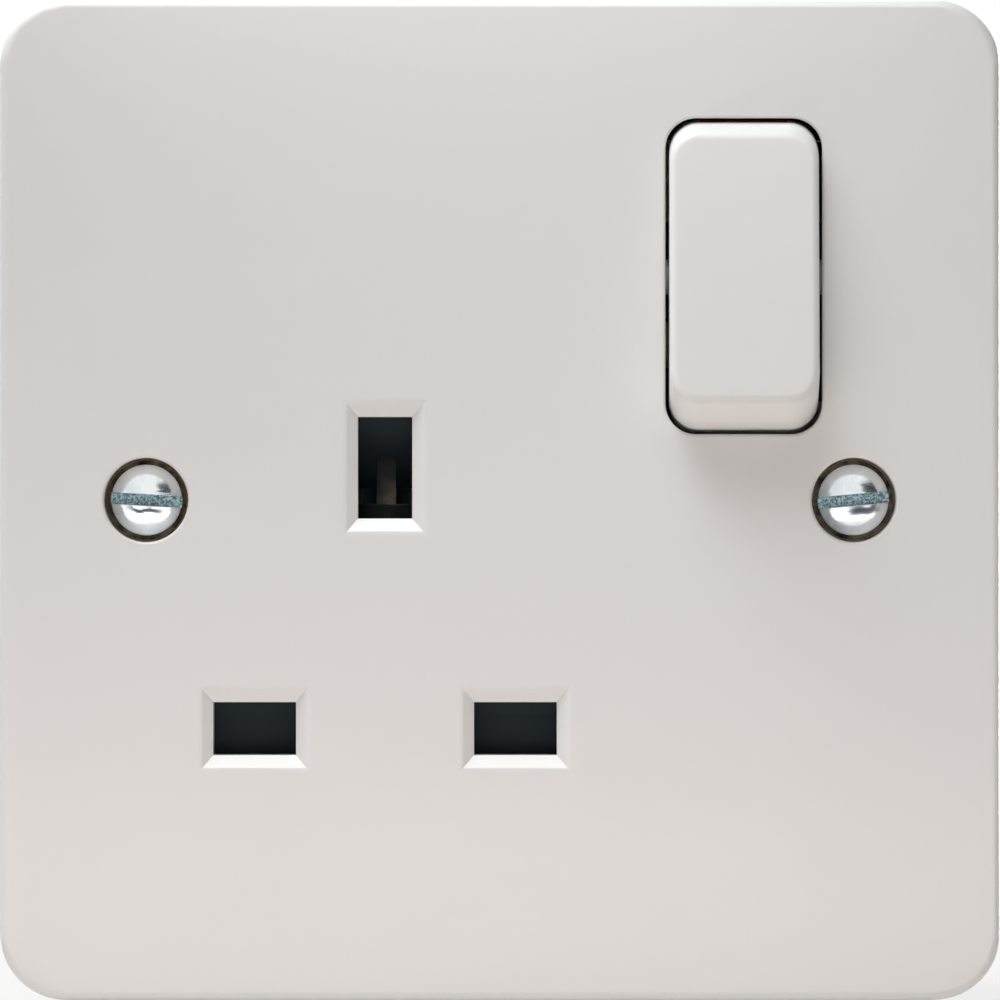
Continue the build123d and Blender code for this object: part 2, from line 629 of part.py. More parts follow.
def strap_outline(grow):
    """Bar across the base with a slanting arm and an eye at each fixing screw."""
    bounds(-STRAP_END_X, STRAP_END_X, STRAP_Z[0] - grow, STRAP_Z[1] + grow)
    for side in (-1, 1):
        Polygon(
            (side * STRAP_ARM_X, STRAP_ARM_Z[1] + grow),
            (side * STRAP_ARM_X, STRAP_ARM_Z[0] - grow),
            (side * (STRAP_END_X + grow), STRAP_Z[0] - grow),
            (side * (STRAP_END_X - STRAP_ARM_ROOT), STRAP_Z[1] + grow),
            align=None,
        )
    with Locations((-FIX_X, 0), (FIX_X, 0)):
        RegularPolygon(STRAP_EYE_R + grow, STRAP_EYE_SIDES)


# Strap that ties both fixing screws to the earth clip
with BuildPart() as earth_strap:
    with BuildSketch(at_y(SEAT_Y + STRIP_T)):
        strap_outline(0)
        with Locations((-FIX_X, 0), (FIX_X, 0)):
            Circle(EYELET_IN_R, mode=Mode.SUBTRACT)
    extrude(amount=STRIP_T)
    with BuildSketch(at_y(BLOCK_BACK_Y)):
        bounds(PIN_X - EARTH_STRIP_HALF, PIN_X + EARTH_STRIP_HALF, *STRAP_TAB_Z)
    extrude(amount=BLOCK_BACK_Y - SEAT_Y - STRIP_T)
keep(earth_strap, "earth_strap")

# Eyelets and fixing screws
with BuildPart() as fixing_eyelets:
    for x in (-FIX_X, FIX_X):
        with BuildSketch(Plane.XY):
            Polygon(
                (x + EYELET_IN_R, FIX_HEAD_Y),
                (x + EYELET_FLANGE[0], FIX_HEAD_Y),
                (x + EYELET_FLANGE[0], WELL_FLOOR_Y),
                (x + EYELET_OUT_R, WELL_FLOOR_Y),
                (x + EYELET_OUT_R, SEAT_Y),
                (x + EYELET_IN_R, SEAT_Y),
                align=None,
            )
        revolve(axis=Axis((x, 0, 0), (0, 1, 0)))
keep(fixing_eyelets, "fixing_eyelets")

with BuildPart() as fixing_screws:
    dome_h = FIX_HEAD_H - FIX_RIM_H
    dome_r = (FIX_HEAD_R**2 + dome_h**2) / (2 * dome_h)
    dome_y = FIX_HEAD_Y - FIX_HEAD_H
    tip_y = FIX_HEAD_Y + FIX_LENGTH
    dome = []
    for step in range(DOME_STEPS + 1):
        angle = asin(FIX_HEAD_R / dome_r) * step / DOME_STEPS
        dome.append((dome_r * sin(angle), dome_y + dome_r * (1 - cos(angle))))
    for x, turn in FIX_TURNS.items():
        with BuildSketch(Plane.XY):
            Polygon(
                *[(x + r, y) for r, y in dome],
                (x + FIX_HEAD_R, FIX_HEAD_Y),
                (x + FIX_NECK_R, FIX_HEAD_Y),
                (x + FIX_NECK_R, FIX_THREAD_Y),
                (x + FIX_THREAD_R, FIX_THREAD_Y),
                (x + FIX_THREAD_R, tip_y),
                (x, tip_y),
                align=None,
            )
        revolve(axis=Axis((x, 0, 0), (0, 1, 0)))
        with BuildSketch(at_y(dome_y)):
            with Locations((x, 0)):
                Rectangle(3 * FIX_HEAD_R, FIX_SLOT[0], rotation=turn)
        extrude(amount=-FIX_SLOT[1], mode=Mode.SUBTRACT)
keep(fixing_screws, "fixing_screws")

# Shutter: two pads on a cross bar, a yoke around the earth pin and a split ramp that the pin lifts
with BuildPart() as shutter:
    with BuildSketch(at_y(SHUTTER_BACK_Y)):
        bounds(NEUTRAL_X - PAD_HALF_W, LIVE_X + PAD_HALF_W, LOWER_Z - PAD_HALF_H, LOWER_Z + PAD_HALF_H)
        bounds(PIN_X - YOKE_HALF_W, PIN_X + YOKE_HALF_W, LOWER_Z, SPRING_SEAT_Z)
        yoke_hole_x = (PIN_X - YOKE_HOLE_HALF_W, PIN_X + YOKE_HOLE_HALF_W)
        bounds(*yoke_hole_x, YOKE_HOLE_FOOT_Z, RAMP_TOP_Z, mode=Mode.SUBTRACT)
    extrude(amount=SHUTTER_BACK_Y - SHUTTER_FRONT_Y)
    with BuildSketch(Plane.YZ.offset(PIN_X)):
        Polygon(
            (SHUTTER_FRONT_Y, RAMP_TOP_Z),
            RAMP_FOOT,
            (RAMP_FOOT[0], RAMP_BACK_Z),
            (SHUTTER_BACK_Y, RAMP_HEAD_Z),
            (SHUTTER_FRONT_Y, RAMP_HEAD_Z),
            align=None,
        )
    extrude(amount=YOKE_HALF_W, both=True)
    with BuildSketch(at_y(RAMP_FOOT[0])):
        bounds(PIN_X - RAMP_SLOT / 2, PIN_X + RAMP_SLOT / 2, 0, RAMP_SLOT_TOP_Z)
    extrude(amount=RAMP_FOOT[0] - SHUTTER_FRONT_Y, mode=Mode.SUBTRACT)
    # seat and spigot for the spring
    with BuildSketch(at_y(SHUTTER_BACK_Y)):
        bounds(*yoke_hole_x, SPRING_SEAT_Z - SPRING_SHELF_T, SPRING_SEAT_Z)
    extrude(amount=SHUTTER_BACK_Y - SPRING_SHELF_Y)
    with BuildSketch(Plane.XY.offset(SPRING_SEAT_Z)):
        with Locations((PIN_X, SPRING_Y)):
            Rectangle(SPIGOT_W, SPIGOT_W)
    extrude(amount=SPIGOT_H)
    # each pad steps back below its upper edge
    with BuildSketch(at_y(SHUTTER_FRONT_Y + PAD_STEP)):
        for x in (NEUTRAL_X, LIVE_X):
            step_z = (LOWER_Z - PAD_HALF_H, LOWER_Z + PAD_STEP_TOP)
            bounds(x - PAD_STEP_HALF_W, x + PAD_STEP_HALF_W, *step_z)
    extrude(amount=PAD_STEP, mode=Mode.SUBTRACT)
keep(shutter, "shutter")

with BuildPart() as shutter_spring:
    coil_r, wire_t, turns = SHUTTER_COIL
    seat = Plane(origin=(PIN_X, SPRING_Y, SPRING_SEAT_Z + wire_t / 2))
    with BuildLine() as coil:
        Polyline(*coil_points(seat, coil_r, SPRING_STOP_Z - SPRING_SEAT_Z - wire_t, turns))
    with BuildSketch(Plane(origin=coil.line @ 0, z_dir=coil.line % 0)):
        Rectangle(wire_t, wire_t)
    sweep(transition=Transition.RIGHT)
keep(shutter_spring, "shutter_spring")

# Deck: cover over the contacts that the shutter slides on, open where the pins and ramp pass
deck_half_w = NOTCH_X - ROOM
ramp_way_top = RAMP_HEAD_Z + SHUTTER_TRAVEL + RAMP_ROOM
with BuildPart() as shutter_deck:
    with BuildSketch(at_y(SEAT_Y)):
        bounds(-deck_half_w, deck_half_w, DECK_FOOT_Z, DECK_STEP_Z)
        bounds(-deck_half_w, DECK_STEP_X, DECK_STEP_Z, DECK_TOP_Z)
        bounds(-BASE_W / 2 + DECK_EAR_INSET, -deck_half_w, DECK_FOOT_Z, -NOTCH_H / 2 - ROOM)
        bounds(PIN_X - BLOCK_W, PIN_X + BLOCK_W, DECK_TAIL_Z, DECK_FOOT_Z)
        ramp_half_w = YOKE_HALF_W + ROOM
        ramp_way = (PIN_X - ramp_half_w, PIN_X + ramp_half_w, RAMP_FOOT[1] - RAMP_ROOM, ramp_way_top)
        bounds(*ramp_way, mode=Mode.SUBTRACT)
        pin_half_w, pin_half_h = (side / 2 for side in DECK_EARTH_HOLE)
        pin_way = (PIN_X - pin_half_w, PIN_X + pin_half_w, EARTH_Z - pin_half_h, RAMP_FOOT[1])
        bounds(*pin_way, mode=Mode.SUBTRACT)
        for x in (NEUTRAL_X, LIVE_X):
            with Locations((x, LOWER_Z)):
                Rectangle(*DECK_PIN_HOLE, mode=Mode.SUBTRACT)
    extrude(amount=SEAT_Y - DECK_FRONT_Y)
    with BuildSketch(at_y(DECK_FRONT_Y)):
        for x in (NEUTRAL_X - PAD_HALF_W - RAIL_GAP, LIVE_X + PAD_HALF_W + RAIL_GAP):
            bounds(x - RAIL_T / 2, x + RAIL_T / 2, LOWER_Z + RAIL_SPAN[0], LOWER_Z + RAIL_SPAN[1])
    extrude(amount=RAIL_H)
keep(shutter_deck, "shutter_deck")

# Rear base: a block with pockets open to the front, ledges for its screws and cores open to the back
block_half = BLOCK_W / 2 + BLOCK_ROOM
block_span = (MOUTH_Z - BLOCK_L - BLOCK_ROOM, MOUTH_Z + BLOCK_ROOM)
strip_half = EARTH_STRIP_HALF + ROOM
earth_clip_x = (PIN_X - EARTH_CLIP_POCKET_HALF, PIN_X + EARTH_CLIP_POCKET_HALF)
clip_half_w, clip_half_h = CLIP_POCKET_HALF
front_pockets = [
    (STRIP_BACK_Y, [(*span, *ARM_POCKET_Z) for span in ARM_POCKETS_X]),
    (
        BLOCK_BACK_Y,
        [(x - block_half, x + block_half, *block_span) for x in (NEUTRAL_TERMINAL_X, LIVE_TERMINAL_X)],
    ),
    (
        EARTH_STRIP_BACK_Y,
        [
            (PIN_X - block_half, PIN_X + block_half, -block_span[1], -block_span[0]),
            (PIN_X - strip_half, PIN_X + strip_half, EARTH_STRIP_POCKET_Z, EARTH_Z),
            (*earth_clip_x, *EARTH_CLIP_POCKET_Z),
        ],
    ),
    (RAMP_FOOT[0] + RAMP_ROOM, [(*earth_clip_x, 0, ramp_way_top)]),
    (
        STRIP_BACK_Y,
        [
            (x - clip_half_w, x + clip_half_w, LOWER_Z - clip_half_h, LOWER_Z + clip_half_h)
            for x in (NEUTRAL_X, LIVE_X)
        ],
    ),
    (
        STRIP_BACK_Y,
        [(x0 - ROOM, x1 + ROOM, z0 - ROOM, z1 + ROOM) for x0, x1, z0, z1 in live_strip + neutral_strip],
    ),
]
with BuildPart() as rear_base:
    with BuildSketch(at_y(BASE_BACK_Y)):
        RectangleRounded(BASE_W, BASE_H, BASE_CORNER_R)
        for side in (-1, 1):
            with Locations((side * (NOTCH_X + NOTCH_CUT / 2), 0)):
                Rectangle(NOTCH_CUT, NOTCH_H, mode=Mode.SUBTRACT)
    extrude(amount=BASE_BACK_Y - SEAT_Y)
    # lip that closes the switch behind the top of the rocker's walls
    with BuildSketch(at_y(SWITCH_LIP_Y)):
        lip_z = (BASE_H / 2 - SWITCH_LIP_ROOT, ROCKER_Z + SHROUD_HALF[1] + SHROUD_T)
        bounds(SWITCH_LIP_X, BASE_W / 2, *lip_z)
    extrude(amount=SWITCH_LIP_Y - SEAT_Y)
    # fingers that close the rocker's bearings from behind
    with BuildSketch(at_y(SEAT_Y)):
        for side in (-1, 1):
            with Locations((ROCKER_X + side * (SHROUD_HALF[0] + SHROUD_T / 2), ROCKER_Z)):
                Rectangle(FINGER_T, 2 * TRUNNION_R - FINGER_ROOM)
    extrude(amount=SEAT_Y - PIVOT_Y - TRUNNION_R - BEARING_GAP)
    for floor_y, areas in front_pockets:
        with BuildSketch(at_y(floor_y)):
            for area in areas:
                bounds(*area)
        extrude(amount=floor_y - SEAT_Y, mode=Mode.SUBTRACT)
    with BuildSketch(at_y(SEAT_Y + STRIP_T + BEARING_GAP)):
        strap_outline(STRAP_ROOM)
    extrude(amount=STRIP_T + BEARING_GAP, mode=Mode.SUBTRACT)
    # a ledge at two corners with a hole for the screw, and the ways to the grub screws
    with BuildSketch(at_y(BASE_BACK_Y)):
        for x, z in POSTS:
            across = sorted((x - copysign(LEDGE_HALF, x), copysign(BASE_W, x)))
            along = sorted((z - copysign(LEDGE_HALF, z), copysign(BASE_H, z)))
            bounds(*across, *along)
    extrude(amount=BASE_BACK_Y - LEDGE_Y, mode=Mode.SUBTRACT)
    with BuildSketch(at_y(LEDGE_Y)):
        with Locations(*POSTS):
            Circle(POST_HOLE_R)
    extrude(amount=LEDGE_Y - SEAT_Y, mode=Mode.SUBTRACT)
    with BuildSketch(at_y(BASE_BACK_Y)):
        with Locations(*grub_spots):
            Rectangle(ACCESS_W, ACCESS_W)
    extrude(amount=BASE_BACK_Y - BLOCK_BACK_Y, mode=Mode.SUBTRACT)
    # wire entries above and below
    for x, up in terminals.values():
        with BuildSketch(Plane.XY.offset(up * MOUTH_Z)):
            with Locations((x, BORE_Y)):
                Rectangle(ENTRY_W, ENTRY_W)
        extrude(amount=up * (BASE_H / 2 - MOUTH_Z + ENTRY_OVERCUT), mode=Mode.SUBTRACT)
    with BuildSketch(at_y(BASE_BACK_Y)):
        for area in REAR_CORES:
            bounds(*area)
    extrude(amount=BASE_BACK_Y - CORE_FLOOR_Y, mode=Mode.SUBTRACT)
keep(rear_base, "rear_base")

# Screws from the base into the plate's posts
with BuildPart() as assembly_screws:
    head_r, head_h = SCREW_HEAD
    cross_l, cross_w, cross_depth = SCREW_CROSS
    with BuildSketch(at_y(LEDGE_Y + head_h)):
        with Locations(*POSTS):
            Circle(head_r)
    extrude(amount=head_h)
    with BuildSketch(at_y(LEDGE_Y)):
        with Locations(*POSTS):
            Circle(POST_PILOT_R)
    extrude(amount=SCREW_L)
    with BuildSketch(at_y(LEDGE_Y + head_h)):
        with Locations(*POSTS):
            Rectangle(cross_l, cross_w, rotation=SCREW_TURN)
            Rectangle(cross_w, cross_l, rotation=SCREW_TURN)
    extrude(amount=cross_depth, mode=Mode.SUBTRACT)
keep(assembly_screws, "assembly_screws")
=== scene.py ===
import json
from math import cos, pi, radians, sin

import bpy
import numpy as np
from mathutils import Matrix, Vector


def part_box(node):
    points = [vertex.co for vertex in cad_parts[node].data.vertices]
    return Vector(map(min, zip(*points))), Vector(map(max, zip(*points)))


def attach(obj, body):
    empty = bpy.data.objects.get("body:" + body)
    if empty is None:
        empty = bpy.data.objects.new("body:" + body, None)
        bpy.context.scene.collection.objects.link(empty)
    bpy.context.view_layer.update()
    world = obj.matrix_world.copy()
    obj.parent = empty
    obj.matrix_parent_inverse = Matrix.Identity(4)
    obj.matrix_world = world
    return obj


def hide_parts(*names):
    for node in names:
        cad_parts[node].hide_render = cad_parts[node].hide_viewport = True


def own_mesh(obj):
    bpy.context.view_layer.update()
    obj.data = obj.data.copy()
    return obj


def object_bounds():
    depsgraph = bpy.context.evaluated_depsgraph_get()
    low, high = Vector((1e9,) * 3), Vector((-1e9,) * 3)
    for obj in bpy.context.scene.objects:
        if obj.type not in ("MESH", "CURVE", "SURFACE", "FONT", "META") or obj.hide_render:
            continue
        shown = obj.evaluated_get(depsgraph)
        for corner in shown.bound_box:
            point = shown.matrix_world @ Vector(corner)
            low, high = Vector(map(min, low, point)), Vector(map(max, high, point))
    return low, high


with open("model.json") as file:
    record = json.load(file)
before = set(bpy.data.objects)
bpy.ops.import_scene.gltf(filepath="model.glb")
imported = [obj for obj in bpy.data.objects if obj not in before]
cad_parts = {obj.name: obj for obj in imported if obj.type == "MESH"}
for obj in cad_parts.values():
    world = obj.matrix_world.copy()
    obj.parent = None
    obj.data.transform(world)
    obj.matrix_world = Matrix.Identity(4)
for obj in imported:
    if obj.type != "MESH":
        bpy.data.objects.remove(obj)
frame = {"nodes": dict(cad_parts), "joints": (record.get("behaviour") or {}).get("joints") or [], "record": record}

CAD_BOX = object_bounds()
MM = 0.001

# Camera of the photograph: square on, far back. Distances in metres, lens and sensor in millimetres
FACE_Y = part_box("front_plate")[0].y
CAMERA_DISTANCE = 0.910
CAMERA_LENS = 384.8
SENSOR = 36.0
CAMERA_REACH = 20.0

# Fixing screws: head, slot, neck, thread and tip
HEAD_R = 3.05 * MM
HEAD_RIM = 1.25 * MM
HEAD_DOME = 0.85 * MM
HEAD_CHORDS = 61
RIM_ROUND = 0.25 * MM
RIM_DROP = 0.10 * MM
SLOT_HALF = 0.5 * MM
SLOT_DEPTH = 1.0 * MM
SLOT_FLOOR_SHARE = 0.98
LIP_CHORDS = np.array([0.96, 1.0, 1.10, 1.24])
NECK_R = 1.55 * MM
NECK_GAP = 0.01 * MM
THREAD_R = 1.75 * MM
THREAD_DEPTH = 0.32 * MM
THREAD_PITCH = 0.6 * MM
THREAD_STEPS = 6
THREAD_START = 1.3 * MM
THREAD_END = 0.4 * MM
TIP_BEVEL = 0.3 * MM
TIP_R = 0.9 * MM
SCREW_TURNS = {-1: -3.3, 1: 5.2}

# Burr along a slot's lips and tool marks on its floor: sizes, shares, and waves in radians a metre
BURR_H = 0.035 * MM
BURR_W = 0.13 * MM
BURR_AT = 1.12 * SLOT_HALF
BURR_LEVEL = 0.6
BURR_MOST = 1.2
WANDER_WAVES = (1.9 / MM, 1.1 / MM, 4.3 / MM)
WANDER_SHIFT = 0.6
WANDER_FAST = 0.3
TOOL_MARK_H = 0.012 * MM
TOOL_WAVES = (9.0 / MM, 3.0 / MM)

# Painted dark reflections below the slots: middle along and across, half length and half width
PAINTED_REFLECTIONS = {
    -1: (0.1 * MM, -0.82 * MM, 1.5 * MM, 0.2 * MM),
    1: (0.75 * MM, -0.98 * MM, 1.35 * MM, 0.42 * MM),
}
REFLECTION_RAGGED = 0.16 * MM
REFLECTION_POWER = 6

# Rocker: width, end radius about the pivot, and depths along its own inward axis
ROCKER_HALF = 6.35 * MM
ROCKER_R = 13.43 * MM
ROCKER_CORNER = 2.5 * MM
ROCKER_WALL = 1.4 * MM
ROCKER_FACE = -6.5 * MM
ROCKER_BACK = 1.8 * MM
ROUND_TOP = 0.9 * MM
ROUND_SIDE = 0.6 * MM
ROUND_FOOT = 0.5 * MM
FLAG_HALF = 3.7 * MM
FLAG_SPAN = (-4.85 * MM, -1.5 * MM)
FLAG_T = 0.6 * MM
TRUNNION_R = 1.5 * MM
TRUNNION_END = 8.3 * MM
TRUNNION_EDGE = 0.2 * MM
GUIDE_HALF = (5.65 * MM, 2.7 * MM)
GUIDE_DEPTHS = (-5.4 * MM, 2.5 * MM)
POCKET_HALF = 1.6 * MM
POCKET_X = 3.0 * MM
POCKET_FLOOR = -4.4 * MM

# Rocker's grid: columns round a corner and up a side, rows over the edge, rows of the face and the roof as
# shares of their size, and where the edge's rounding starts to change towards the ends and the corners
CORNER_STEPS = 11
SIDE_STEPS = 9
EDGE_STEPS = 13
FACE_SHARES = np.array([0.0, 0.5, 0.97])
ROOF_SHARES = np.array([0.5, 0.0])
ROUND_BLEND = 0.5
CORNER_SHARE = 0.4

# Width round a pin opening that its bevel takes up
MOUTH_REACH = 1.9 * MM

# Earth clip: its height, and the painted pool of light on its back strip, with painted shade on the rest of the
# clip.
# Sides are from the clip's middle, depths from its back and heights from its foot, and the shares are the least
# painted light across and up
EARTH_CLIP_H = 6.2 * MM
LIT_SIDES = (-1.0 * MM, 0.4 * MM)
LIT_DEPTHS = (-1.6 * MM, -1.0 * MM)
LIT_FOOT = 0.1 * MM
LIT_FADE = 4.5 * MM
LIT_LEAST_ACROSS = 0.4
LIT_LEAST_UP = 0.2

# Raised terminal marks on the back of the base
MARK_H = 2.6 * MM
MARK_W = 1.7 * MM
MARK_STROKE = 0.4 * MM
MARK_TOP_STROKE = 0.24 * MM
MARK_RISE = 0.2 * MM
MARK_GAP = 0.7 * MM
TERMINAL_MARKS = {"live_terminal": "L", "neutral_terminal": "N", "earth_terminal": "E"}
LETTER_STROKES = {
    "L": [((0, 1), (0, 0)), ((0, 0), (1, 0))],
    "N": [((0, 0), (0, 1)), ((0, 1), (1, 0)), ((1, 0), (1, 1))],
    "E": [((0, 0), (0, 1)), ((0, 1), (1, 1)), ((0, 0.5), (0.8, 0.5)), ((0, 0), (1, 0))],
}

# Brass sleeves round the foot of the screw wells, dark with painted shade of the wells
WELL_R = 3.55 * MM
SLEEVE_T = 0.13 * MM
SLEEVE_TOP = 2.35 * MM
SLEEVE_BACK = 3.3 * MM

# Springs: wire, turns, length, steps to a turn, sides of the wire, and how far the ends close up
SHUTTER_WIRE_R = 0.19 * MM
PLUNGER_WIRE_R = 0.16 * MM
SHUTTER_TURNS = 9
PLUNGER_TURNS = 5
PLUNGER_SPRING_L = 3.8 * MM
COIL_STEPS = 40
WIRE_SIDES = 12
CLOSING = 0.75

# Skins of mouldings: height of the peel, swing of the gloss and roughness of the clear coat
PEEL_H = 0.05 * MM
GLOSS_SWING = 0.04
COAT_ROUGH = 0.12

# Skins of metals: height, stretch and lean of the scratches, and where tarnish starts and is full
SCRATCH_H = 0.08 * MM
SCRATCH_STRETCH = (0.12, 1.0, 1.0)
SCRATCH_LEAN = radians(8)
TARNISH_RANGE = (0.4, 0.65)

# Milled slots: the tones of their speckle, their roughness, and the speckle's scale and range
SLOT_TONES = ((0.08, 0.13, 0.15), (0.38, 0.52, 0.55))
SLOT_ROUGH = 0.5
SPECKLE_SCALE = 6500.0
SPECKLE_RANGE = (0.38, 0.66)

# Tones of the painted dark reflections beside the slots and of the painted shade on the earth clip
PAINTED_REFLECTION_TONE = (0.05, 0.065, 0.085)
PAINTED_SHADE_TONE = (0.14, 0.21, 0.235)

# Stage: floor, sky and the card that the screws reflect
FLOOR_HALF = 2.5
FLOOR_GAP = 0.1 * MM
FLOOR_TONE = (0.80, 0.76, 0.72, 1)
FLOOR_WHITE = 0.8
SKY_LEVEL = 0.06
SKY_TONE = (1.0, 0.99, 0.98, 1)
CARD_PLACE = np.array([0.75, -1.22, 0.47])
CARD_ACROSS = np.array([0.24, 0.18, 0.0])
CARD_UP = np.array([-0.16, 0.0, 0.26])
CARD_TONE = (0.03, 0.045, 0.06, 1)

# Lamps that face the plate: place, size, power and colour
LAMPS = {
    "overhead_light": ((-0.20, -0.15, 0.60), (0.5, 0.25), 3.75, (0.93, 0.975, 1.0)),
    "upper_strip": ((-0.018, -0.03, 0.078), (0.16, 0.02), 0.028, (0.97, 1.0, 1.0)),
    "low_light": ((-0.006, -0.072, -0.0415), (0.2, 0.03), 0.0415, (1.0, 0.86, 0.83)),
    "left_light": ((-0.45, -0.30, 0.05), (0.2, 0.3), 0.12, (0.7, 0.85, 1.0)),
    "right_light": ((0.40, 0.03, -0.01), (0.06, 0.06), 0.05, (1.0, 0.98, 0.96)),
    "back_light": ((0.15, 0.40, 0.02), (0.35, 0.12), 1.6, (1.0, 1.0, 1.0)),
}


def joint(name):
    """The record's entry for a joint."""
    return next(j for j in frame["joints"] if j["name"] == name)


ROCKER_PIVOT = np.array(joint("rocker_tilt")["pos_m"])
OUTWARD = np.array(joint("live_plunger_slide")["axis"])
UPWARD = np.array([0.0, OUTWARD[2], -OUTWARD[1]])


# Meshes
def new_piece(name, verts, faces, crease=None):
    """Object at the origin whose mesh holds its place, smooth but for edges over the crease angle."""
    mesh = bpy.data.meshes.new(name)
    mesh.from_pydata(verts[:, :3].tolist(), [], faces)
    mesh.validate()
    mesh.shade_smooth()
    if crease:
        mesh.set_sharp_from_angle(angle=radians(crease))
    piece = bpy.data.objects.new(name, mesh)
    bpy.context.scene.collection.objects.link(piece)
    return piece


def grid_faces(rows, columns, wrap=False):
    """Quads between neighbours of a grid of rows by columns; wrap joins the last column to the first."""
    index = np.arange(rows * columns).reshape(rows, columns)
    if wrap:
        index = np.hstack([index, index[:, :1]])
    corners = [index[:-1, :-1], index[:-1, 1:], index[1:, 1:], index[1:, :-1]]
    return np.stack(corners, axis=-1).reshape(-1, 4)


def joined(patches):
    """One list of points and quads from several grids, each given as (points, wrap)."""
    verts, faces, start = [], [], 0
    for points, wrap in patches:
        rows, columns, width = points.shape
        verts.append(points.reshape(-1, width))
        faces.append(grid_faces(rows, columns, wrap) + start)
        start += rows * columns
    return np.vstack(verts), np.vstack(faces)


def weld(verts, faces, gap=1e-7):
    """Points that lie within the gap become one; a quad that loses a corner becomes a triangle, and a face
    that loses its area goes."""
    keys = np.round(verts[:, :3] / gap).astype(np.int64)
    _, first, place = np.unique(keys, axis=0, return_index=True, return_inverse=True)
    faces = place.reshape(-1)[faces]
    repeated = faces == np.roll(faces, -1, axis=1)
    corners = (~repeated).sum(axis=1)
    folded = (faces == np.roll(faces, 2, axis=1)).any(axis=1) if faces.shape[1] == 4 else corners < 3
    kept = faces[(corners == 4) & ~folded].tolist()
    cut = (corners == 3) & ~folded
    kept += faces[cut][~repeated[cut]].reshape(-1, 3).tolist()
    return verts[first], kept


def shell(patches):
    """One closed shell from grids that meet, with its faces turned outwards.

    The sum of each face's corners taken as a box product is the enclosed volume, negative if inside out.
    """
    verts, faces = weld(*joined(patches))
    halves = [face[:3] for face in faces]
    halves += [[face[0], *face[2:]] for face in faces if len(face) == 4]
    corners = np.array(halves)
    a, b, c = (verts[corners[:, k], :3] for k in range(3))
    if np.einsum("ij,ij->i", a, np.cross(b, c)).sum() < 0:
        faces = [face[::-1] for face in faces]
    return verts, faces


def merged(shells):
    """Several closed shells as one list of points and faces."""
    verts, faces = [], []
    for points, patches in shells:
        start = sum(len(v) for v in verts)
        verts.append(points)
        faces += [[corner + start for corner in face] for face in patches]
    return np.vstack(verts), faces


def turned(place, profile, steps=48):
    """Closed solid of revolution: a profile of radius and distance is carried round an axis, where
    place maps the two cross directions and the distance to a point."""
    radius, distance = np.array(profile).T[:, :, None]
    angle = np.linspace(0, 2 * pi, steps, endpoint=False)
    return shell([(place(radius * np.cos(angle), radius * np.sin(angle), distance + 0 * angle), True)])


def finished(node, crease=47.0):
    """Copy of a CAD node with its triangles joined, shaded smooth up to the crease angle in degrees."""
    source = frame["nodes"][node].data
    verts = np.empty(len(source.vertices) * 3)
    source.vertices.foreach_get("co", verts)
    source.calc_loop_triangles()
    triangles = np.empty(len(source.loop_triangles) * 3, dtype=np.int64)
    source.loop_triangles.foreach_get("vertices", triangles)
    verts, faces = weld(verts.reshape(-1, 3), triangles.reshape(-1, 3))
    piece = new_piece(node + "_finish", verts, faces, crease)
    soft = piece.modifiers.new("soft_edges", "WEIGHTED_NORMAL")
    soft.keep_sharp = True
    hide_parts(node)
    return piece


def sharp_edges(mesh, angle):
    """Marks of the edges over an angle in degrees."""
    mesh.set_sharp_from_angle(angle=radians(angle))
    marks = np.empty(len(mesh.edges), dtype=bool)
    mesh.edges.foreach_get("use_edge_sharp", marks)
    return marks


def crisp_mouths(piece, soft_angle=47.0, crisp_angle=23.0):
    """Keep the bevels round the pin openings flat, with sharp mitres between them."""
    mesh = piece.data
    crisp, soft = sharp_edges(mesh, crisp_angle), sharp_edges(mesh, soft_angle)
    verts = np.empty(len(mesh.vertices) * 3)
    mesh.vertices.foreach_get("co", verts)
    ends = np.empty(len(mesh.edges) * 2, dtype=np.int64)
    mesh.edges.foreach_get("vertices", ends)
    middle = verts.reshape(-1, 3)[ends.reshape(-1, 2)].mean(axis=1)
    near = np.zeros(len(mesh.edges), dtype=bool)
    for opening in frame["record"]["physics"]["openings"]:
        low, high = np.array(opening["box_m"])
        near |= ((middle > low - MOUTH_REACH) & (middle < high + MOUTH_REACH)).all(axis=1)
    mesh.edges.foreach_set("use_edge_sharp", np.where(near, crisp, soft))


def body_of(node):
    """Name of the moving body that a CAD node belongs to."""
    bodies = frame["record"]["behaviour"]["bodies"]
    return next(body for body, members in bodies.items() if node in members)


def slot_of(node):
    """Material slot of a CAD node."""
    return next(row["material_slot"] for row in frame["record"]["subparts"] if row["node"] == node)


def dress(piece, node, material):
    """Give a piece its material and the body it rides on, all from the node it stands for."""
    piece.data.materials.clear()
    piece.data.materials.append(material)
    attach(piece, body_of(node))


# Screws
def slot_wander(chord, side):
    """Uneven run along a slot: the product of two slow sines, with a faster one added."""
    first, second, fast = WANDER_WAVES
    slow = np.sin(first * chord + side) * np.sin(second * chord - WANDER_SHIFT)
    return slow + WANDER_FAST * np.sin(fast * chord + 2 * side)


def in_slot(across):
    """Whether places across a head lie on the floor of its slot."""
    return np.abs(across) < SLOT_FLOOR_SHARE * SLOT_HALF


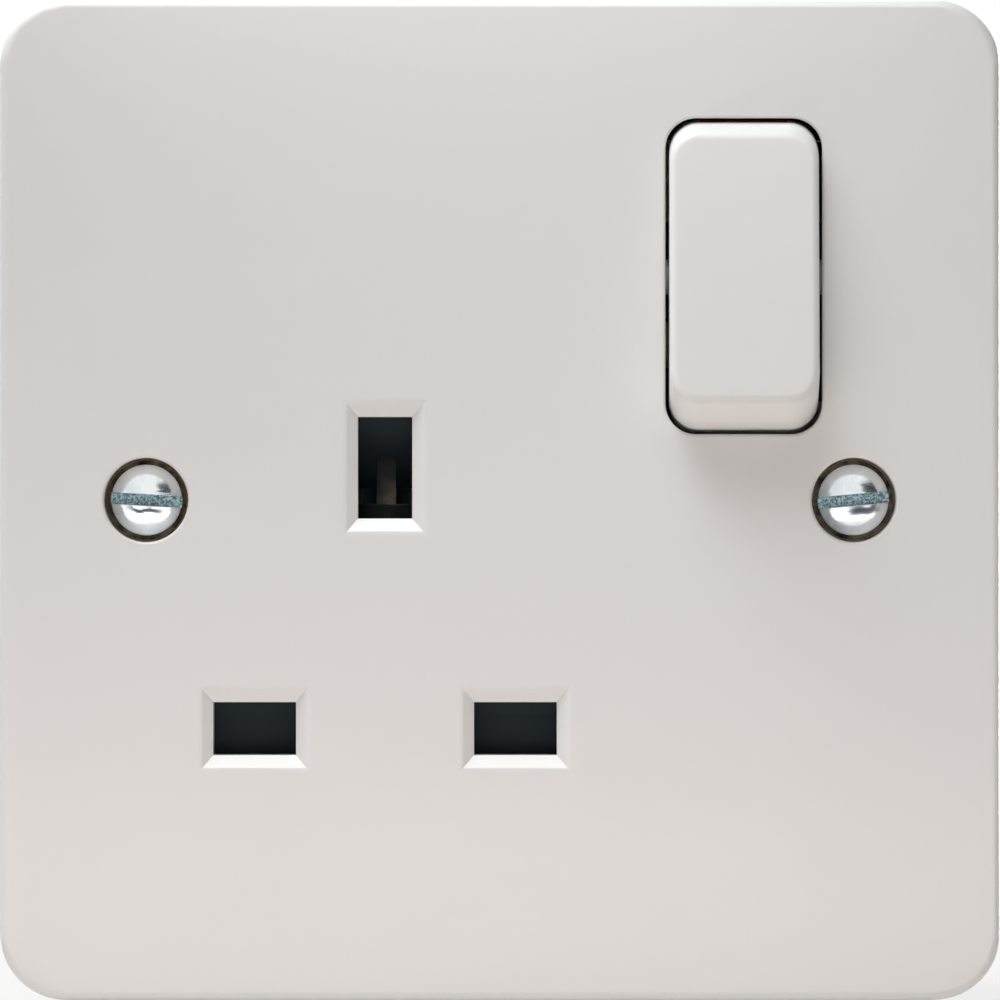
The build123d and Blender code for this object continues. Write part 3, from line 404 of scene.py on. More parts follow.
def head_height(across, chord, side):
    """Height of a head over its rim: a ball cap whose rim falls away in a quarter round, raised along the
    slot's lips by a bell-shaped burr of uneven height, and dropped in the slot to a floor of fine waves."""
    radius = np.hypot(across, chord)
    ball_r = (HEAD_R**2 + HEAD_DOME**2) / (2 * HEAD_DOME)
    inside = np.clip((HEAD_R - radius) / RIM_ROUND, 0, 1)
    height = np.sqrt(ball_r**2 - radius**2) - (ball_r - HEAD_DOME)
    height -= RIM_DROP * (1 - np.sqrt(1 - (1 - inside) ** 2))
    lip = np.exp(-(((np.abs(across) - BURR_AT) / BURR_W) ** 2))
    height += BURR_H * lip * np.clip(BURR_LEVEL + slot_wander(chord, side), 0, BURR_MOST) * inside
    along_wave, across_wave = TOOL_WAVES
    bottom = HEAD_DOME - SLOT_DEPTH + TOOL_MARK_H * np.sin(along_wave * chord + across_wave * across)
    return np.where(in_slot(across), np.minimum(height, bottom), height)


def painted_reflection_share(across, chord, side):
    """How strongly a head carries its painted dark reflection, from 0 to 1: the exponential of minus the
    sixth powers of the distances from the patch's middle, along and across, over its half sizes. The
    distance across follows the slot's uneven run, and the slot's floor has none."""
    along_middle, across_middle, half_length, half_width = PAINTED_REFLECTIONS[side]
    ragged = across - across_middle + REFLECTION_RAGGED * slot_wander(chord, side)
    fall = ((chord - along_middle) / half_length) ** REFLECTION_POWER + (ragged / half_width) ** REFLECTION_POWER
    return np.where(in_slot(across), 0, np.exp(-fall))


def screw_patches(side):
    """One fixing screw as two grids: a domed head cut by a slot, and the body below it.

    Chords of the head run parallel to the slot at b = R sin(psi), so that their ends lie evenly round
    the rim, with a few more at the slot's lips. The body carries the rim's angles down through the rim,
    the neck and a thread, whose radius falls from the crest by a triangle wave of height minus turn.
    """
    low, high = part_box("fixing_screws")
    centre_x = side * (high.x - HEAD_R)
    rim_y, tip_y = low.y + HEAD_DOME, high.y
    base_y = rim_y + HEAD_RIM

    lips = np.arcsin(SLOT_HALF / HEAD_R * LIP_CHORDS)
    spread = np.linspace(-pi / 2, pi / 2, HEAD_CHORDS)
    psi = np.unique(np.round(np.concatenate([spread, lips, -lips]), 6))
    across = HEAD_R * np.sin(psi)[:, None] + 0 * spread
    chord = HEAD_R * np.cos(psi)[:, None] * np.sin(spread)
    turn = radians(SCREW_TURNS[side])
    head = np.stack(
        [
            centre_x + chord * cos(turn) - across * sin(turn),
            rim_y - head_height(across, chord, side),
            chord * sin(turn) + across * cos(turn),
            in_slot(across),
            painted_reflection_share(across, chord, side),
        ],
        axis=-1,
    )
    loop = np.concatenate([head[:, -1], head[-2:0:-1, 0]])
    angle = np.arctan2(loop[:, 2], loop[:, 0] - centre_x)

    steps = np.arange(THREAD_START, tip_y - THREAD_END, THREAD_PITCH / THREAD_STEPS)
    wave = np.abs(((steps[:, None] / THREAD_PITCH - angle / (2 * pi)) % 1) * 2 - 1)
    fade = np.clip((steps - THREAD_START) / THREAD_PITCH, 0, 1)[:, None]
    thread_r = THREAD_R - THREAD_DEPTH * (1 - fade * (1 - wave))
    neck = [(HEAD_R, base_y), (NECK_R, base_y), (NECK_R, THREAD_START - NECK_GAP)]
    tip = [(THREAD_R - THREAD_DEPTH, tip_y - TIP_BEVEL), (TIP_R, tip_y), (0.0, tip_y)]
    radii = np.vstack(
        [np.full_like(angle, r) for r, _ in neck] + [thread_r] + [np.full_like(angle, r) for r, _ in tip]
    )
    depths = np.concatenate([[y for _, y in neck], steps, [y for _, y in tip]])
    round_x, round_z = radii * np.cos(angle), radii * np.sin(angle)
    plain = 0 * radii
    shank = np.stack([centre_x + round_x, depths[:, None] + plain, round_z, plain, plain], axis=-1)
    return [(head, False), (np.concatenate([loop[None], shank]), True)]


def fixing_screws():
    """Both fixing screws, with crisp slots and soft domes."""
    verts, faces = merged([shell(screw_patches(side)) for side in (-1, 1)])
    piece = new_piece("fixing_screws_finish", verts, faces, crease=38)
    # Per-point shares of the slot's floor and of the painted dark reflection below the slot
    for column, label in ((3, "slot_floor"), (4, "painted_reflection")):
        values = piece.data.attributes.new(label, "FLOAT", "POINT")
        values.data.foreach_set("value", verts[:, column])
    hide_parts("fixing_screws")
    return piece


def shaded_well_sleeves():
    """Thin brass lining low in both screw wells, dark to paint in the shade round each head: a ring's section
    turned about each screw's axis.
    """
    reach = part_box("fixing_screws")[1].x - HEAD_R
    inner, top, back = WELL_R - SLEEVE_T, FACE_Y + SLEEVE_TOP, FACE_Y + SLEEVE_BACK
    section = [(inner, top), (WELL_R, top), (WELL_R, back), (inner, back), (inner, top)]
    rings = []
    for centre in (-reach, reach):
        rings.append(turned(lambda a, b, d, x=centre: np.stack([x + a, d, b], axis=-1), section))
    return new_piece("shaded_well_sleeves", *merged(rings), crease=30)


# Springs
def coil(node, start, axis, length, wire_r, turns):
    """Round wire wound about an axis: the centre climbs slowly at both ends, where the turns close up,
    and a small circle square to the wire's own direction is carried along it."""
    low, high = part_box(node)
    coil_r = (high.x - low.x) / 2 - wire_r
    axis = np.asarray(axis) / np.linalg.norm(axis)
    side = np.array([1.0, 0.0, 0.0])
    other = np.cross(axis, side)
    t = np.linspace(0, 1, COIL_STEPS * turns + 1)
    climb = t - CLOSING * np.sin(2 * pi * t) / (2 * pi)
    angle = 2 * pi * turns * t
    radial = np.cos(angle)[:, None] * side + np.sin(angle)[:, None] * other
    centre = start + axis * (wire_r + (length - 2 * wire_r) * climb)[:, None] + coil_r * radial
    tangent = np.gradient(centre, axis=0)
    tangent /= np.linalg.norm(tangent, axis=1, keepdims=True)
    across = np.cross(tangent, radial)
    turn = np.linspace(0, 2 * pi, WIRE_SIDES, endpoint=False)
    ring = radial[:, None] * np.cos(turn)[None, :, None] + across[:, None] * np.sin(turn)[None, :, None]
    tube = centre[:, None] + wire_r * ring
    ends = [np.repeat(centre[:1, None], len(turn), axis=1), np.repeat(centre[-1:, None], len(turn), axis=1)]
    tube = np.concatenate([ends[0], tube, ends[1]])
    piece = new_piece(node + "_finish", *shell([(tube, True)]), crease=60)
    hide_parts(node)
    return piece


def shutter_spring():
    """Spring between the shutter and its stop."""
    low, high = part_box("shutter_spring")
    start = np.array([(low.x + high.x) / 2, (low.y + high.y) / 2, low.z])
    return coil("shutter_spring", start, (0, 0, 1), high.z - low.z, SHUTTER_WIRE_R, SHUTTER_TURNS)


def plunger_spring(pole):
    """Spring between the rocker and a plunger, along the rocker's own axis."""
    node = pole + "_plunger_spring"
    low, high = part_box(node)
    middle = np.array([(low.x + high.x) / 2, (low.y + high.y) / 2, (low.z + high.z) / 2])
    middle[1:] = ROCKER_PIVOT[1:] + OUTWARD[1:] * np.dot(middle[1:] - ROCKER_PIVOT[1:], OUTWARD[1:])
    start = middle + OUTWARD * PLUNGER_SPRING_L / 2
    return coil(node, start, -OUTWARD, PLUNGER_SPRING_L, PLUNGER_WIRE_R, PLUNGER_TURNS)


# Rocker
def rocker_place(across, up, depth):
    """Points of the tipped rocker from places along the pivot, up the face and inwards."""
    sideways = np.stack([across, 0 * up, 0 * up], axis=-1)
    return ROCKER_PIVOT + sideways + up[..., None] * UPWARD - depth[..., None] * OUTWARD


def smooth_step(low, high, value):
    """Share from 0 to 1 between two values, level at both ends."""
    share = np.clip((value - low) / (high - low), 0, 1)
    return share * share * (3 - 2 * share)


def rocker_ring():
    """Columns round the rocker: shares of the straight width, of the corner across and along, how far up
    the column lies from the foot at -1 to the top at 1, and whether it crosses the flag."""
    corner = np.linspace(0, pi / 2, CORNER_STEPS)
    flag_edge = FLAG_HALF / (ROCKER_HALF - ROCKER_CORNER)
    end = np.array([flag_edge, flag_edge, 0.0, -flag_edge, -flag_edge])
    side = np.linspace(1, -1, SIDE_STEPS)[1:-1]
    one, none = np.ones(len(corner)), np.zeros(len(end))
    width = np.concatenate([one, end, -one])
    bend = np.concatenate([np.cos(corner), none, -np.cos(corner[::-1])])
    reach = np.concatenate([np.sin(corner), none + 1, np.sin(corner[::-1])])
    level = np.ones(len(width))
    flag = np.concatenate([0 * one, [0, 1, 1, 1, 0], 0 * one])
    sides = np.ones(len(side))
    return (
        np.concatenate([width, -sides, -width, sides]),
        np.concatenate([bend, -sides, -bend, sides]),
        np.concatenate([reach, 0 * sides, reach, 0 * sides]),
        np.concatenate([level, side, -level, -side]),
        np.concatenate([flag, 0 * sides, 0 * flag, 0 * sides]),
    )


def rocker_shell():
    """Rocker cap as one skin, from the middle of its face out, over the edge, down the wall, round the
    open back and up the hollow inside.

    A row is a rounded oblong at a depth and an inset. Across, it is the straight width plus the corner;
    up, it is the root of the end radius squared less the depth squared. Over the edge the inset grows as
    one less a cosine and the depth as one less a sine. The flag's pocket lowers the end radius.
    """
    width, bend, reach, level, flag = rocker_ring()
    towards_end = level * (CORNER_SHARE + (1 - CORNER_SHARE) * reach)
    round_off = ROUND_SIDE + (ROUND_TOP - ROUND_SIDE) * smooth_step(ROUND_BLEND, 1, towards_end)
    round_off += (ROUND_FOOT - ROUND_SIDE) * smooth_step(ROUND_BLEND, 1, -towards_end)
    over = np.linspace(pi / 2, 0, EDGE_STEPS)[:, None]
    plain = 0 * width

    def rows(scale, inset, depth, pocket=0.0):
        corner = ROCKER_CORNER - inset
        across = width * (ROCKER_HALF - ROCKER_CORNER) + bend * corner
        radius = ROCKER_R - ROCKER_CORNER + reach * corner - pocket * flag
        up = level * np.sqrt(radius**2 - depth**2)
        return rocker_place(scale * across, scale * up, depth)

    shrink = FACE_SHARES[:, None]
    face = rows(shrink, round_off + 0 * shrink, ROCKER_FACE + plain + 0 * shrink)
    edge = rows(1.0, round_off * (1 - np.cos(over)), ROCKER_FACE + round_off * (1 - np.sin(over)))
    low, high = FLAG_SPAN
    depths = np.array([low, low, high, high, ROCKER_BACK])[:, None]
    sunk = np.array([0, 1, 1, 0, 0])[:, None] * FLAG_T
    wall = rows(1.0, plain + 0 * depths, depths + plain, sunk)
    ceiling = ROCKER_FACE + ROCKER_WALL
    inner = np.array([ROCKER_BACK, ceiling])[:, None]
    hollow = rows(1.0, ROCKER_WALL + plain + 0 * inner, inner + plain)
    closing = ROOF_SHARES[:, None]
    roof = rows(closing, ROCKER_WALL + plain + 0 * closing, ceiling + plain + 0 * closing)
    return shell([(np.concatenate([face, edge, wall, hollow, roof]), True)])


def rocker_guide():
    """Block across the hollow with a square pocket for each plunger: a height over a grid whose lines are
    doubled at every step, closed below by the same grid laid flat."""
    half_x, half_z = GUIDE_HALF
    root, top = GUIDE_DEPTHS
    left, right = -POCKET_X - POCKET_HALF, -POCKET_X + POCKET_HALF
    x = np.array([-half_x, -half_x, left, left, right, right, -right, -right, -left, -left, half_x, half_x])
    z = np.array([-half_z, -half_z, -POCKET_HALF, -POCKET_HALF, POCKET_HALF, POCKET_HALF, half_z, half_z])
    rim_x = np.isin(np.arange(len(x)), [0, len(x) - 1])[:, None]
    rim_z = np.isin(np.arange(len(z)), [0, len(z) - 1])
    in_pocket = np.isin(np.arange(len(x)), [3, 4, 7, 8])[:, None] & np.isin(np.arange(len(z)), [3, 4])
    depth = np.where(in_pocket, POCKET_FLOOR, np.where(rim_x | rim_z, root, top))
    across, up = x[:, None] + 0 * z, 0 * x[:, None] + z
    above = rocker_place(across, up, depth)
    below = rocker_place(across, up, np.full_like(across, root))
    return shell([(above, False), (below[::-1], False)])


def rocker():
    """Rocker with its rounded cap, plunger guide and trunnions."""
    start = ROCKER_HALF - ROCKER_WALL / 2
    profile = [
        (0, start),
        (TRUNNION_R, start),
        (TRUNNION_R, TRUNNION_END - TRUNNION_EDGE),
        (TRUNNION_R - TRUNNION_EDGE, TRUNNION_END),
        (0, TRUNNION_END),
    ]
    pins = [turned(lambda a, b, d, side=side: rocker_place(side * d, a, b), profile) for side in (-1, 1)]
    piece = new_piece("rocker_finish", *merged([rocker_shell(), rocker_guide(), *pins]), crease=32)
    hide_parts("rocker")
    return piece


# Terminal marks
def stroke(start, end):
    """Raised bar of a letter on the base's back: four corners round the stroke's line, as rings from the
    middle of its foot, out to the foot's edge, up to a narrower top and in to the middle."""
    start, end = np.array(start), np.array(end)
    length = np.linalg.norm(end - start)
    along = (end - start) / length
    aside = np.array([-along[1], along[0]])
    widthwise = np.array([0, MARK_STROKE / 2, MARK_TOP_STROKE / 2, 0])
    lengthwise = widthwise + np.array([0, length / 2, length / 2, 0])
    rise = np.array([0, 0, MARK_RISE, MARK_RISE])[:, None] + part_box("rear_base")[1].y
    corner_ends, corner_sides = np.array([-1, 1, 1, -1]), np.array([-1, -1, 1, 1])
    flat = lengthwise[:, None, None] * corner_ends[:, None] * along
    flat = (start + end) / 2 + flat + widthwise[:, None, None] * corner_sides[:, None] * aside
    return shell([(np.stack([flat[..., 0], rise + 0 * flat[..., 0], flat[..., 1]], axis=-1), True)])


def terminal_marks():
    """L, N and E beside the terminals, raised on the back of the base and read from behind."""
    bars = []
    for terminal, letter in TERMINAL_MARKS.items():
        low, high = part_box(terminal)
        inner_z = low.z - MARK_GAP - MARK_H / 2 if low.z > 0 else high.z + MARK_GAP + MARK_H / 2
        corner = np.array([(low.x + high.x) / 2 + MARK_W / 2, inner_z - MARK_H / 2])
        size = np.array([-MARK_W, MARK_H])
        bars += [stroke(corner + size * a, corner + size * b) for a, b in LETTER_STROKES[letter]]
    return new_piece("terminal_marks", *merged(bars), crease=30)


# Shading
def group_with(name, inputs, outputs):
    """Empty shader group with value inputs (name, default) and outputs (name, socket type)."""
    group = bpy.data.node_groups.new(name, "ShaderNodeTree")
    for label, default in inputs:
        socket = group.interface.new_socket(label, in_out="INPUT", socket_type="NodeSocketFloat")
        socket.default_value = default
    for label, kind in outputs:
        group.interface.new_socket(label, in_out="OUTPUT", socket_type=kind)
    return group, group.nodes.new("NodeGroupInput"), group.nodes.new("NodeGroupOutput")


def add_node(tree, kind, links=(), **settings):
    """New node; settings set its properties or unlinked inputs, links join (output, input name or place)."""
    made = tree.nodes.new(kind)
    for key, value in settings.items():
        if hasattr(made, key):
            setattr(made, key, value)
        else:
            made.inputs[key.replace("_", " ")].default_value = value
    for output, name in links:
        tree.links.new(output, made.inputs[name])
    return made


def between(tree, factor, low, high, start=0.0, end=1.0):
    """Value that goes from low to high as the factor goes from start to end."""
    mapped = add_node(tree, "ShaderNodeMapRange", [(factor, "Value")])
    mapped.inputs["From Min"].default_value = start
    mapped.inputs["From Max"].default_value = end
    mapped.inputs["To Min"].default_value = low
    mapped.inputs["To Max"].default_value = high
    return mapped.outputs["Result"]


def tone(tree, factor, first, second):
    """Colour that goes from the first to the second as the factor goes from 0 to 1. Each is a tuple or an
    output."""
    mixed = add_node(tree, "ShaderNodeMix", [(factor, "Factor")], data_type="RGBA")
    for place, colour in ((6, first), (7, second)):
        if isinstance(colour, tuple):
            mixed.inputs[place].default_value = (*colour, 1)
        else:
            tree.links.new(colour, mixed.inputs[place])
    return mixed.outputs[2]


def product(tree, factors):
    """Product of several values."""
    total = factors[0]
    for factor in factors[1:]:
        total = add_node(tree, "ShaderNodeMath", [(total, 0), (factor, 1)], operation="MULTIPLY").outputs[0]
    return total


def linked(shader, name):
    """Output that feeds one of a shader's inputs."""
    return shader.inputs[name].links[0].from_socket


def moulded_skin_group():
    """Skin of a moulding: slow clouding of the tone and a fine orange-peel height."""
    group, given, out = group_with(
        "moulded_skin",
        [("Cloud Scale", 60.0), ("Peel Scale", 2500.0)],
        [("Cloud", "NodeSocketFloat"), ("Peel", "NodeSocketFloat")],
    )
    place = add_node(group, "ShaderNodeTexCoord").outputs["Object"]
    cloud_scale, peel_scale = given.outputs["Cloud Scale"], given.outputs["Peel Scale"]
    cloud = add_node(group, "ShaderNodeTexNoise", [(place, "Vector"), (cloud_scale, "Scale")], Detail=3.0)
    peel = add_node(group, "ShaderNodeTexNoise", [(place, "Vector"), (peel_scale, "Scale")], Detail=2.0)
    group.links.new(cloud.outputs["Fac"], out.inputs["Cloud"])
    group.links.new(peel.outputs["Fac"], out.inputs["Peel"])
    return group


def worn_metal_group():
    """Metal skin: stretched scratches as a height, and a mask of blotchy tarnish."""
    group, given, out = group_with(
        "worn_metal",
        [("Scratch Scale", 900.0), ("Blotch Scale", 500.0)],
        [("Scratches", "NodeSocketFloat"), ("Tarnish", "NodeSocketFloat")],
    )
    place = add_node(group, "ShaderNodeTexCoord").outputs["Object"]
    drawn = add_node(group, "ShaderNodeMapping", [(place, "Vector")])
    drawn.inputs["Scale"].default_value = SCRATCH_STRETCH
    drawn.inputs["Rotation"].default_value = (0.0, SCRATCH_LEAN, 0.0)
    fine = add_node(
        group,
        "ShaderNodeTexNoise",
        [(drawn.outputs["Vector"], "Vector"), (given.outputs["Scratch Scale"], "Scale")],
        Detail=6.0,
        Roughness=0.7,
    )
    blotch = add_node(
        group,
        "ShaderNodeTexNoise",
        [(place, "Vector"), (given.outputs["Blotch Scale"], "Scale")],
        Detail=4.0,
        Roughness=0.6,
    )
    tarnish = between(group, blotch.outputs["Fac"], 0.0, 1.0, *TARNISH_RANGE)
    group.links.new(fine.outputs["Fac"], out.inputs["Scratches"])
    group.links.new(tarnish, out.inputs["Tarnish"])
    return group


MOULDED_SKIN = moulded_skin_group()
WORN_METAL = worn_metal_group()


def moulding(name, light, dark, rough, peel=0.04, cloud_scale=60.0, coat=0.0, shine=0.5):
    """Moulded plastic: a tone clouded between light and dark, with an even gloss and a fine peel."""
    material = bpy.data.materials.new(name)
    material.use_nodes = True
    tree = material.node_tree
    shader = tree.nodes["Principled BSDF"]
    skin = add_node(tree, "ShaderNodeGroup", node_tree=MOULDED_SKIN)
    skin.inputs["Cloud Scale"].default_value = cloud_scale
    cloud = skin.outputs["Cloud"]
    tree.links.new(tone(tree, cloud, dark, light), shader.inputs["Base Color"])
    gloss = between(tree, cloud, rough + GLOSS_SWING, rough - GLOSS_SWING)
    tree.links.new(gloss, shader.inputs["Roughness"])
    height = skin.outputs["Peel"]
    bump = add_node(tree, "ShaderNodeBump", [(height, "Height")], Strength=peel, Distance=PEEL_H)
    tree.links.new(bump.outputs["Normal"], shader.inputs["Normal"])
    shader.inputs["Specular IOR Level"].default_value = shine
    shader.inputs["Coat Weight"].default_value = coat
    shader.inputs["Coat Roughness"].default_value = COAT_ROUGH
    return material


def metal(name, bright, dull, smooth, rough, scratch=0.15, scratch_scale=900.0, blotch_scale=500.0):
    """Bare metal: bright where clean and dull under blotchy tarnish, with drawn scratches."""
    material = bpy.data.materials.new(name)
    material.use_nodes = True
    tree = material.node_tree
    shader = tree.nodes["Principled BSDF"]
    skin = add_node(tree, "ShaderNodeGroup", node_tree=WORN_METAL)
    skin.inputs["Scratch Scale"].default_value = scratch_scale
    skin.inputs["Blotch Scale"].default_value = blotch_scale
    tarnish = skin.outputs["Tarnish"]
    tree.links.new(tone(tree, tarnish, bright, dull), shader.inputs["Base Color"])
    tree.links.new(between(tree, tarnish, smooth, rough), shader.inputs["Roughness"])
    scratches = skin.outputs["Scratches"]
    bump = add_node(tree, "ShaderNodeBump", [(scratches, "Height")], Strength=scratch, Distance=SCRATCH_H)
    tree.links.new(bump.outputs["Normal"], shader.inputs["Normal"])
    shader.inputs["Metallic"].default_value = 1.0
    return material


def slotted(material):
    """Metal whose milled slots are duller and blue-grey, speckled by the tool, with painted dark reflections
    beside them.
    """
    tree = material.node_tree
    shader = tree.nodes["Principled BSDF"]
    milled = add_node(tree, "ShaderNodeAttribute", attribute_name="slot_floor").outputs["Fac"]
    reflected = add_node(tree, "ShaderNodeAttribute", attribute_name="painted_reflection").outputs["Fac"]
    place = add_node(tree, "ShaderNodeTexCoord").outputs["Object"]
    speckle = add_node(tree, "ShaderNodeTexNoise", [(place, "Vector")], Scale=SPECKLE_SCALE, Detail=3.0)
    speckled = tone(tree, between(tree, speckle.outputs["Fac"], 0.0, 1.0, *SPECKLE_RANGE), *SLOT_TONES)
    # Painted dark reflection: the head's tone turns dark blue-grey below the slot
    with_reflection = tone(tree, reflected, linked(shader, "Base Color"), PAINTED_REFLECTION_TONE)
    tree.links.new(tone(tree, milled, with_reflection, speckled), shader.inputs["Base Color"])
    dulled = add_node(tree, "ShaderNodeMix", [(milled, "Factor")], data_type="FLOAT")
    tree.links.new(linked(shader, "Roughness"), dulled.inputs[2])
    dulled.inputs[3].default_value = SLOT_ROUGH
    tree.links.new(dulled.outputs[0], shader.inputs["Roughness"])
    return material


def painted_light_and_shade(material, clip, clip_height):
    """Metal of a clip under painted shade, but for a painted pool of light on its back strip behind the
    clip's throat: brightest at the lower right, fading upwards and gone below the clip's foot."""
    low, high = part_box(clip)
    middle, foot, back = (low.x + high.x) / 2, high.z - clip_height, high.y
    tree = material.node_tree
    shader = tree.nodes["Principled BSDF"]
    place = add_node(tree, "ShaderNodeTexCoord").outputs["Object"]
    x, y, z = add_node(tree, "ShaderNodeSeparateXYZ", [(place, "Vector")]).outputs
    left, right = LIT_SIDES
    front, rear = LIT_DEPTHS
    # Painted light: bright at the clip's foot and towards the right, fading upwards, none below the foot
    lit_parts = [
        between(tree, x, LIT_LEAST_ACROSS, 1.0, middle + left, middle + right),
        between(tree, y, 0.0, 1.0, back + front, back + rear),
        between(tree, z, 0.0, 1.0, foot - LIT_FOOT, foot),
        between(tree, z, 1.0, LIT_LEAST_UP, foot, foot + LIT_FADE),
    ]
    share = product(tree, lit_parts)
    # Painted shade wherever the painted light is weak
    shaded_tone = tone(tree, share, PAINTED_SHADE_TONE, linked(shader, "Base Color"))
    tree.links.new(shaded_tone, shader.inputs["Base Color"])
    tree.links.new(share, shader.inputs["Metallic"])
    return material


FINISHES = {
    "white_moulding": moulding("white_moulding", (0.80, 0.785, 0.77), (0.785, 0.77, 0.757), 0.34, coat=0.15),
    "rocker_white": moulding("rocker_white", (0.785, 0.771, 0.757), (0.772, 0.758, 0.745), 0.33, coat=0.2),
    "flag_red": moulding("flag_red", (0.62, 0.03, 0.025), (0.55, 0.025, 0.02), 0.35),
    "base_dark": moulding(
        "base_dark", (0.052, 0.053, 0.056), (0.038, 0.039, 0.042), 0.5, peel=0.2, cloud_scale=90.0
    ),
    "shutter_black": moulding(
        "shutter_black", (0.025, 0.036, 0.042), (0.020, 0.030, 0.036), 0.42, peel=0.15, shine=0.06
    ),
    "plunger_nylon": moulding("plunger_nylon", (0.74, 0.72, 0.66), (0.70, 0.68, 0.62), 0.45, peel=0.1),
    "spring_steel": metal("spring_steel", (0.60, 0.60, 0.61), (0.48, 0.48, 0.49), 0.29, 0.37),
    "brass": metal("brass", (0.74, 0.53, 0.25), (0.52, 0.35, 0.16), 0.28, 0.42),
    "silver": metal("silver", (0.82, 0.80, 0.77), (0.70, 0.68, 0.64), 0.29, 0.4),
    "zinc_steel": slotted(
        metal("zinc_steel", (0.84, 0.87, 0.88), (0.70, 0.74, 0.77), 0.14, 0.22, scratch=0.2)
    ),
}
# Brass painted dark brown throughout as painted shade of the deep screw wells, with blotchy tarnish over it
SHADED_EYELET_BRASS = metal(
    "eyelet_brass_painted_shade", (0.15, 0.118, 0.078), (0.04, 0.034, 0.026), 0.4, 0.6, blotch_scale=900.0
)
DIM_BRONZE = metal("dim_bronze", (0.29, 0.20, 0.155), (0.20, 0.14, 0.11), 0.32, 0.45)
OWN_FINISHES = {
    "fixing_eyelets": SHADED_EYELET_BRASS,
    # Earth clip: painted shade with a painted pool of light on its back strip
    "earth_contact": painted_light_and_shade(DIM_BRONZE, "earth_contact", EARTH_CLIP_H),
}

# Pieces
dress(fixing_screws(), "fixing_screws", FINISHES["zinc_steel"])

lifting = shutter_spring()
dress(lifting, "shutter_spring", FINISHES["spring_steel"])
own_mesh(lifting)

for pole in ("live", "neutral"):
    pushing = plunger_spring(pole)
    dress(pushing, pole + "_plunger_spring", FINISHES["spring_steel"])
    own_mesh(pushing)

dress(rocker(), "rocker", FINISHES["rocker_white"])
dress(terminal_marks(), "rear_base", FINISHES["base_dark"])
# Sleeves in the dark brass that carries the wells' painted shade
dress(shaded_well_sleeves(), "fixing_eyelets", SHADED_EYELET_BRASS)

made = {"fixing_screws", "shutter_spring", "live_plunger_spring", "neutral_plunger_spring", "rocker"}
for name in sorted(frame["nodes"]):
    if name not in made:
        piece = finished(name)
        dress(piece, name, OWN_FINISHES.get(name, FINISHES[slot_of(name)]))
        if name == "front_plate":
            crisp_mouths(piece)


# Stage
def looking_rays(tree):
    """Value of 1 for rays that see the stage: from the camera, off a mirror or through glass."""
    rays = add_node(tree, "ShaderNodeLightPath").outputs
    seen = rays["Is Camera Ray"]
    for ray in ("Is Glossy Ray", "Is Transmission Ray"):
        seen = add_node(tree, "ShaderNodeMath", [(seen, 0), (rays[ray], 1)], operation="MAXIMUM").outputs[0]
    return seen


def floor():
    """Pale floor under the plate. Seen directly it is mostly white but keeps a soft shadow, and it can't
    be seen from below."""
    level = CAD_BOX[0].z - FLOOR_GAP
    corners = np.array([(-1, -1, 0), (1, -1, 0), (1, 1, 0), (-1, 1, 0)]) * FLOOR_HALF + (0, 0, level)
    piece = new_piece("floor", corners, [[0, 1, 2, 3]])
    material = bpy.data.materials.new("pale_floor")
    material.use_nodes = True
    tree = material.node_tree
    tree.nodes.remove(tree.nodes["Principled BSDF"])
    matt = add_node(tree, "ShaderNodeBsdfDiffuse", Color=FLOOR_TONE)
    white = add_node(tree, "ShaderNodeEmission", Strength=1.0)
    clear = add_node(tree, "ShaderNodeBsdfTransparent")
    behind = add_node(tree, "ShaderNodeNewGeometry").outputs["Backfacing"]
    share = add_node(tree, "ShaderNodeMath", [(looking_rays(tree), 0)], operation="MULTIPLY")
    share.inputs[1].default_value = FLOOR_WHITE
    seen = add_node(tree, "ShaderNodeMixShader")
    tree.links.new(share.outputs[0], seen.inputs[0])
    tree.links.new(matt.outputs[0], seen.inputs[1])
    tree.links.new(white.outputs[0], seen.inputs[2])
    shown = add_node(tree, "ShaderNodeMixShader")
    tree.links.new(behind, shown.inputs[0])
    tree.links.new(seen.outputs[0], shown.inputs[1])
    tree.links.new(clear.outputs[0], shown.inputs[2])
    tree.links.new(shown.outputs[0], tree.nodes["Material Output"].inputs["Surface"])
    piece.data.materials.append(material)


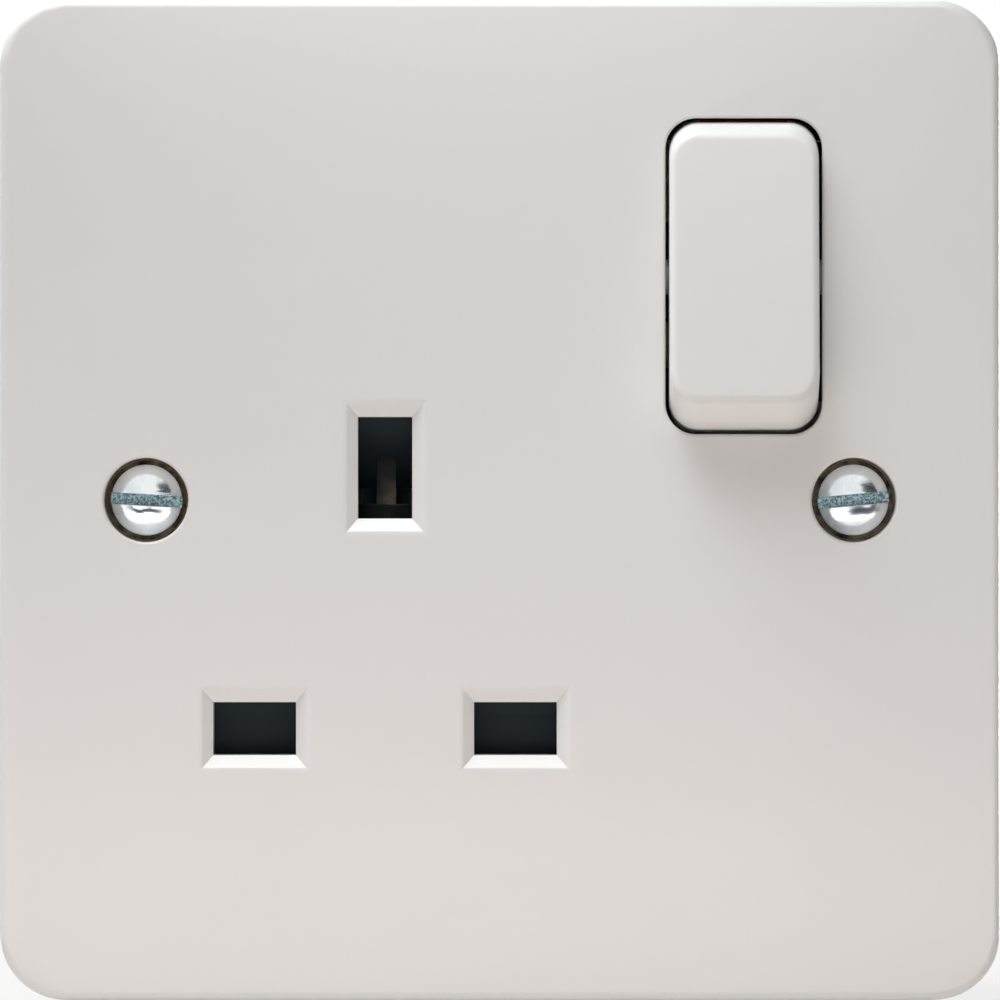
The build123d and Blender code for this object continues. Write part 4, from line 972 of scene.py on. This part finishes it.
def area_light(name, place, size, power, colour):
    """Soft rectangular lamp that faces the plate."""
    data = bpy.data.lights.new(name, "AREA")
    data.shape = "RECTANGLE"
    data.size, data.size_y = size
    data.energy = power
    data.color = colour
    lamp = bpy.data.objects.new(name, data)
    bpy.context.scene.collection.objects.link(lamp)
    lamp.location = place
    lamp.rotation_euler = (-lamp.location).to_track_quat("-Z", "Y").to_euler()
    lamp.visible_camera = False


def dark_card():
    """Dark card to the right for the screw heads to reflect. Only reflections show it."""
    sides = [-CARD_ACROSS - CARD_UP, CARD_ACROSS - CARD_UP, CARD_ACROSS + CARD_UP, CARD_UP - CARD_ACROSS]
    corners = CARD_PLACE + np.array(sides)
    piece = new_piece("dark_card", corners, [[0, 1, 2, 3]])
    material = bpy.data.materials.new("dark_card")
    material.use_nodes = True
    material.node_tree.nodes["Principled BSDF"].inputs["Base Color"].default_value = CARD_TONE
    piece.data.materials.append(material)
    piece.visible_camera = False
    piece.visible_diffuse = False
    piece.visible_shadow = False


def sky():
    """Even grey-white light from all round, white to the camera, in mirrors and through glass."""
    world = bpy.data.worlds.new("studio")
    bpy.context.scene.world = world
    world.use_nodes = True
    tree = world.node_tree
    light = tree.nodes["Background"]
    light.inputs["Color"].default_value = SKY_TONE
    light.inputs["Strength"].default_value = SKY_LEVEL
    white = add_node(tree, "ShaderNodeBackground", Strength=1.0)
    white.inputs["Color"].default_value = (1, 1, 1, 1)
    pick = add_node(tree, "ShaderNodeMixShader")
    tree.links.new(looking_rays(tree), pick.inputs[0])
    tree.links.new(light.outputs[0], pick.inputs[1])
    tree.links.new(white.outputs[0], pick.inputs[2])
    tree.links.new(pick.outputs[0], tree.nodes["World Output"].inputs["Surface"])


def camera():
    """Square view of the face from the photograph's distance."""
    data = bpy.data.cameras.new("camera")
    data.lens = CAMERA_LENS
    data.sensor_width = SENSOR
    data.clip_end = CAMERA_REACH
    eye = bpy.data.objects.new("camera", data)
    bpy.context.scene.collection.objects.link(eye)
    eye.location = (0, FACE_Y - CAMERA_DISTANCE, 0)
    eye.rotation_euler = (pi / 2, 0, 0)
    bpy.context.scene.camera = eye


dark_card()
floor()
sky()
for name, (place, size, power, colour) in LAMPS.items():
    area_light(name, place, size, power, colour)
camera()

bpy.context.scene.view_settings.view_transform = "Standard"
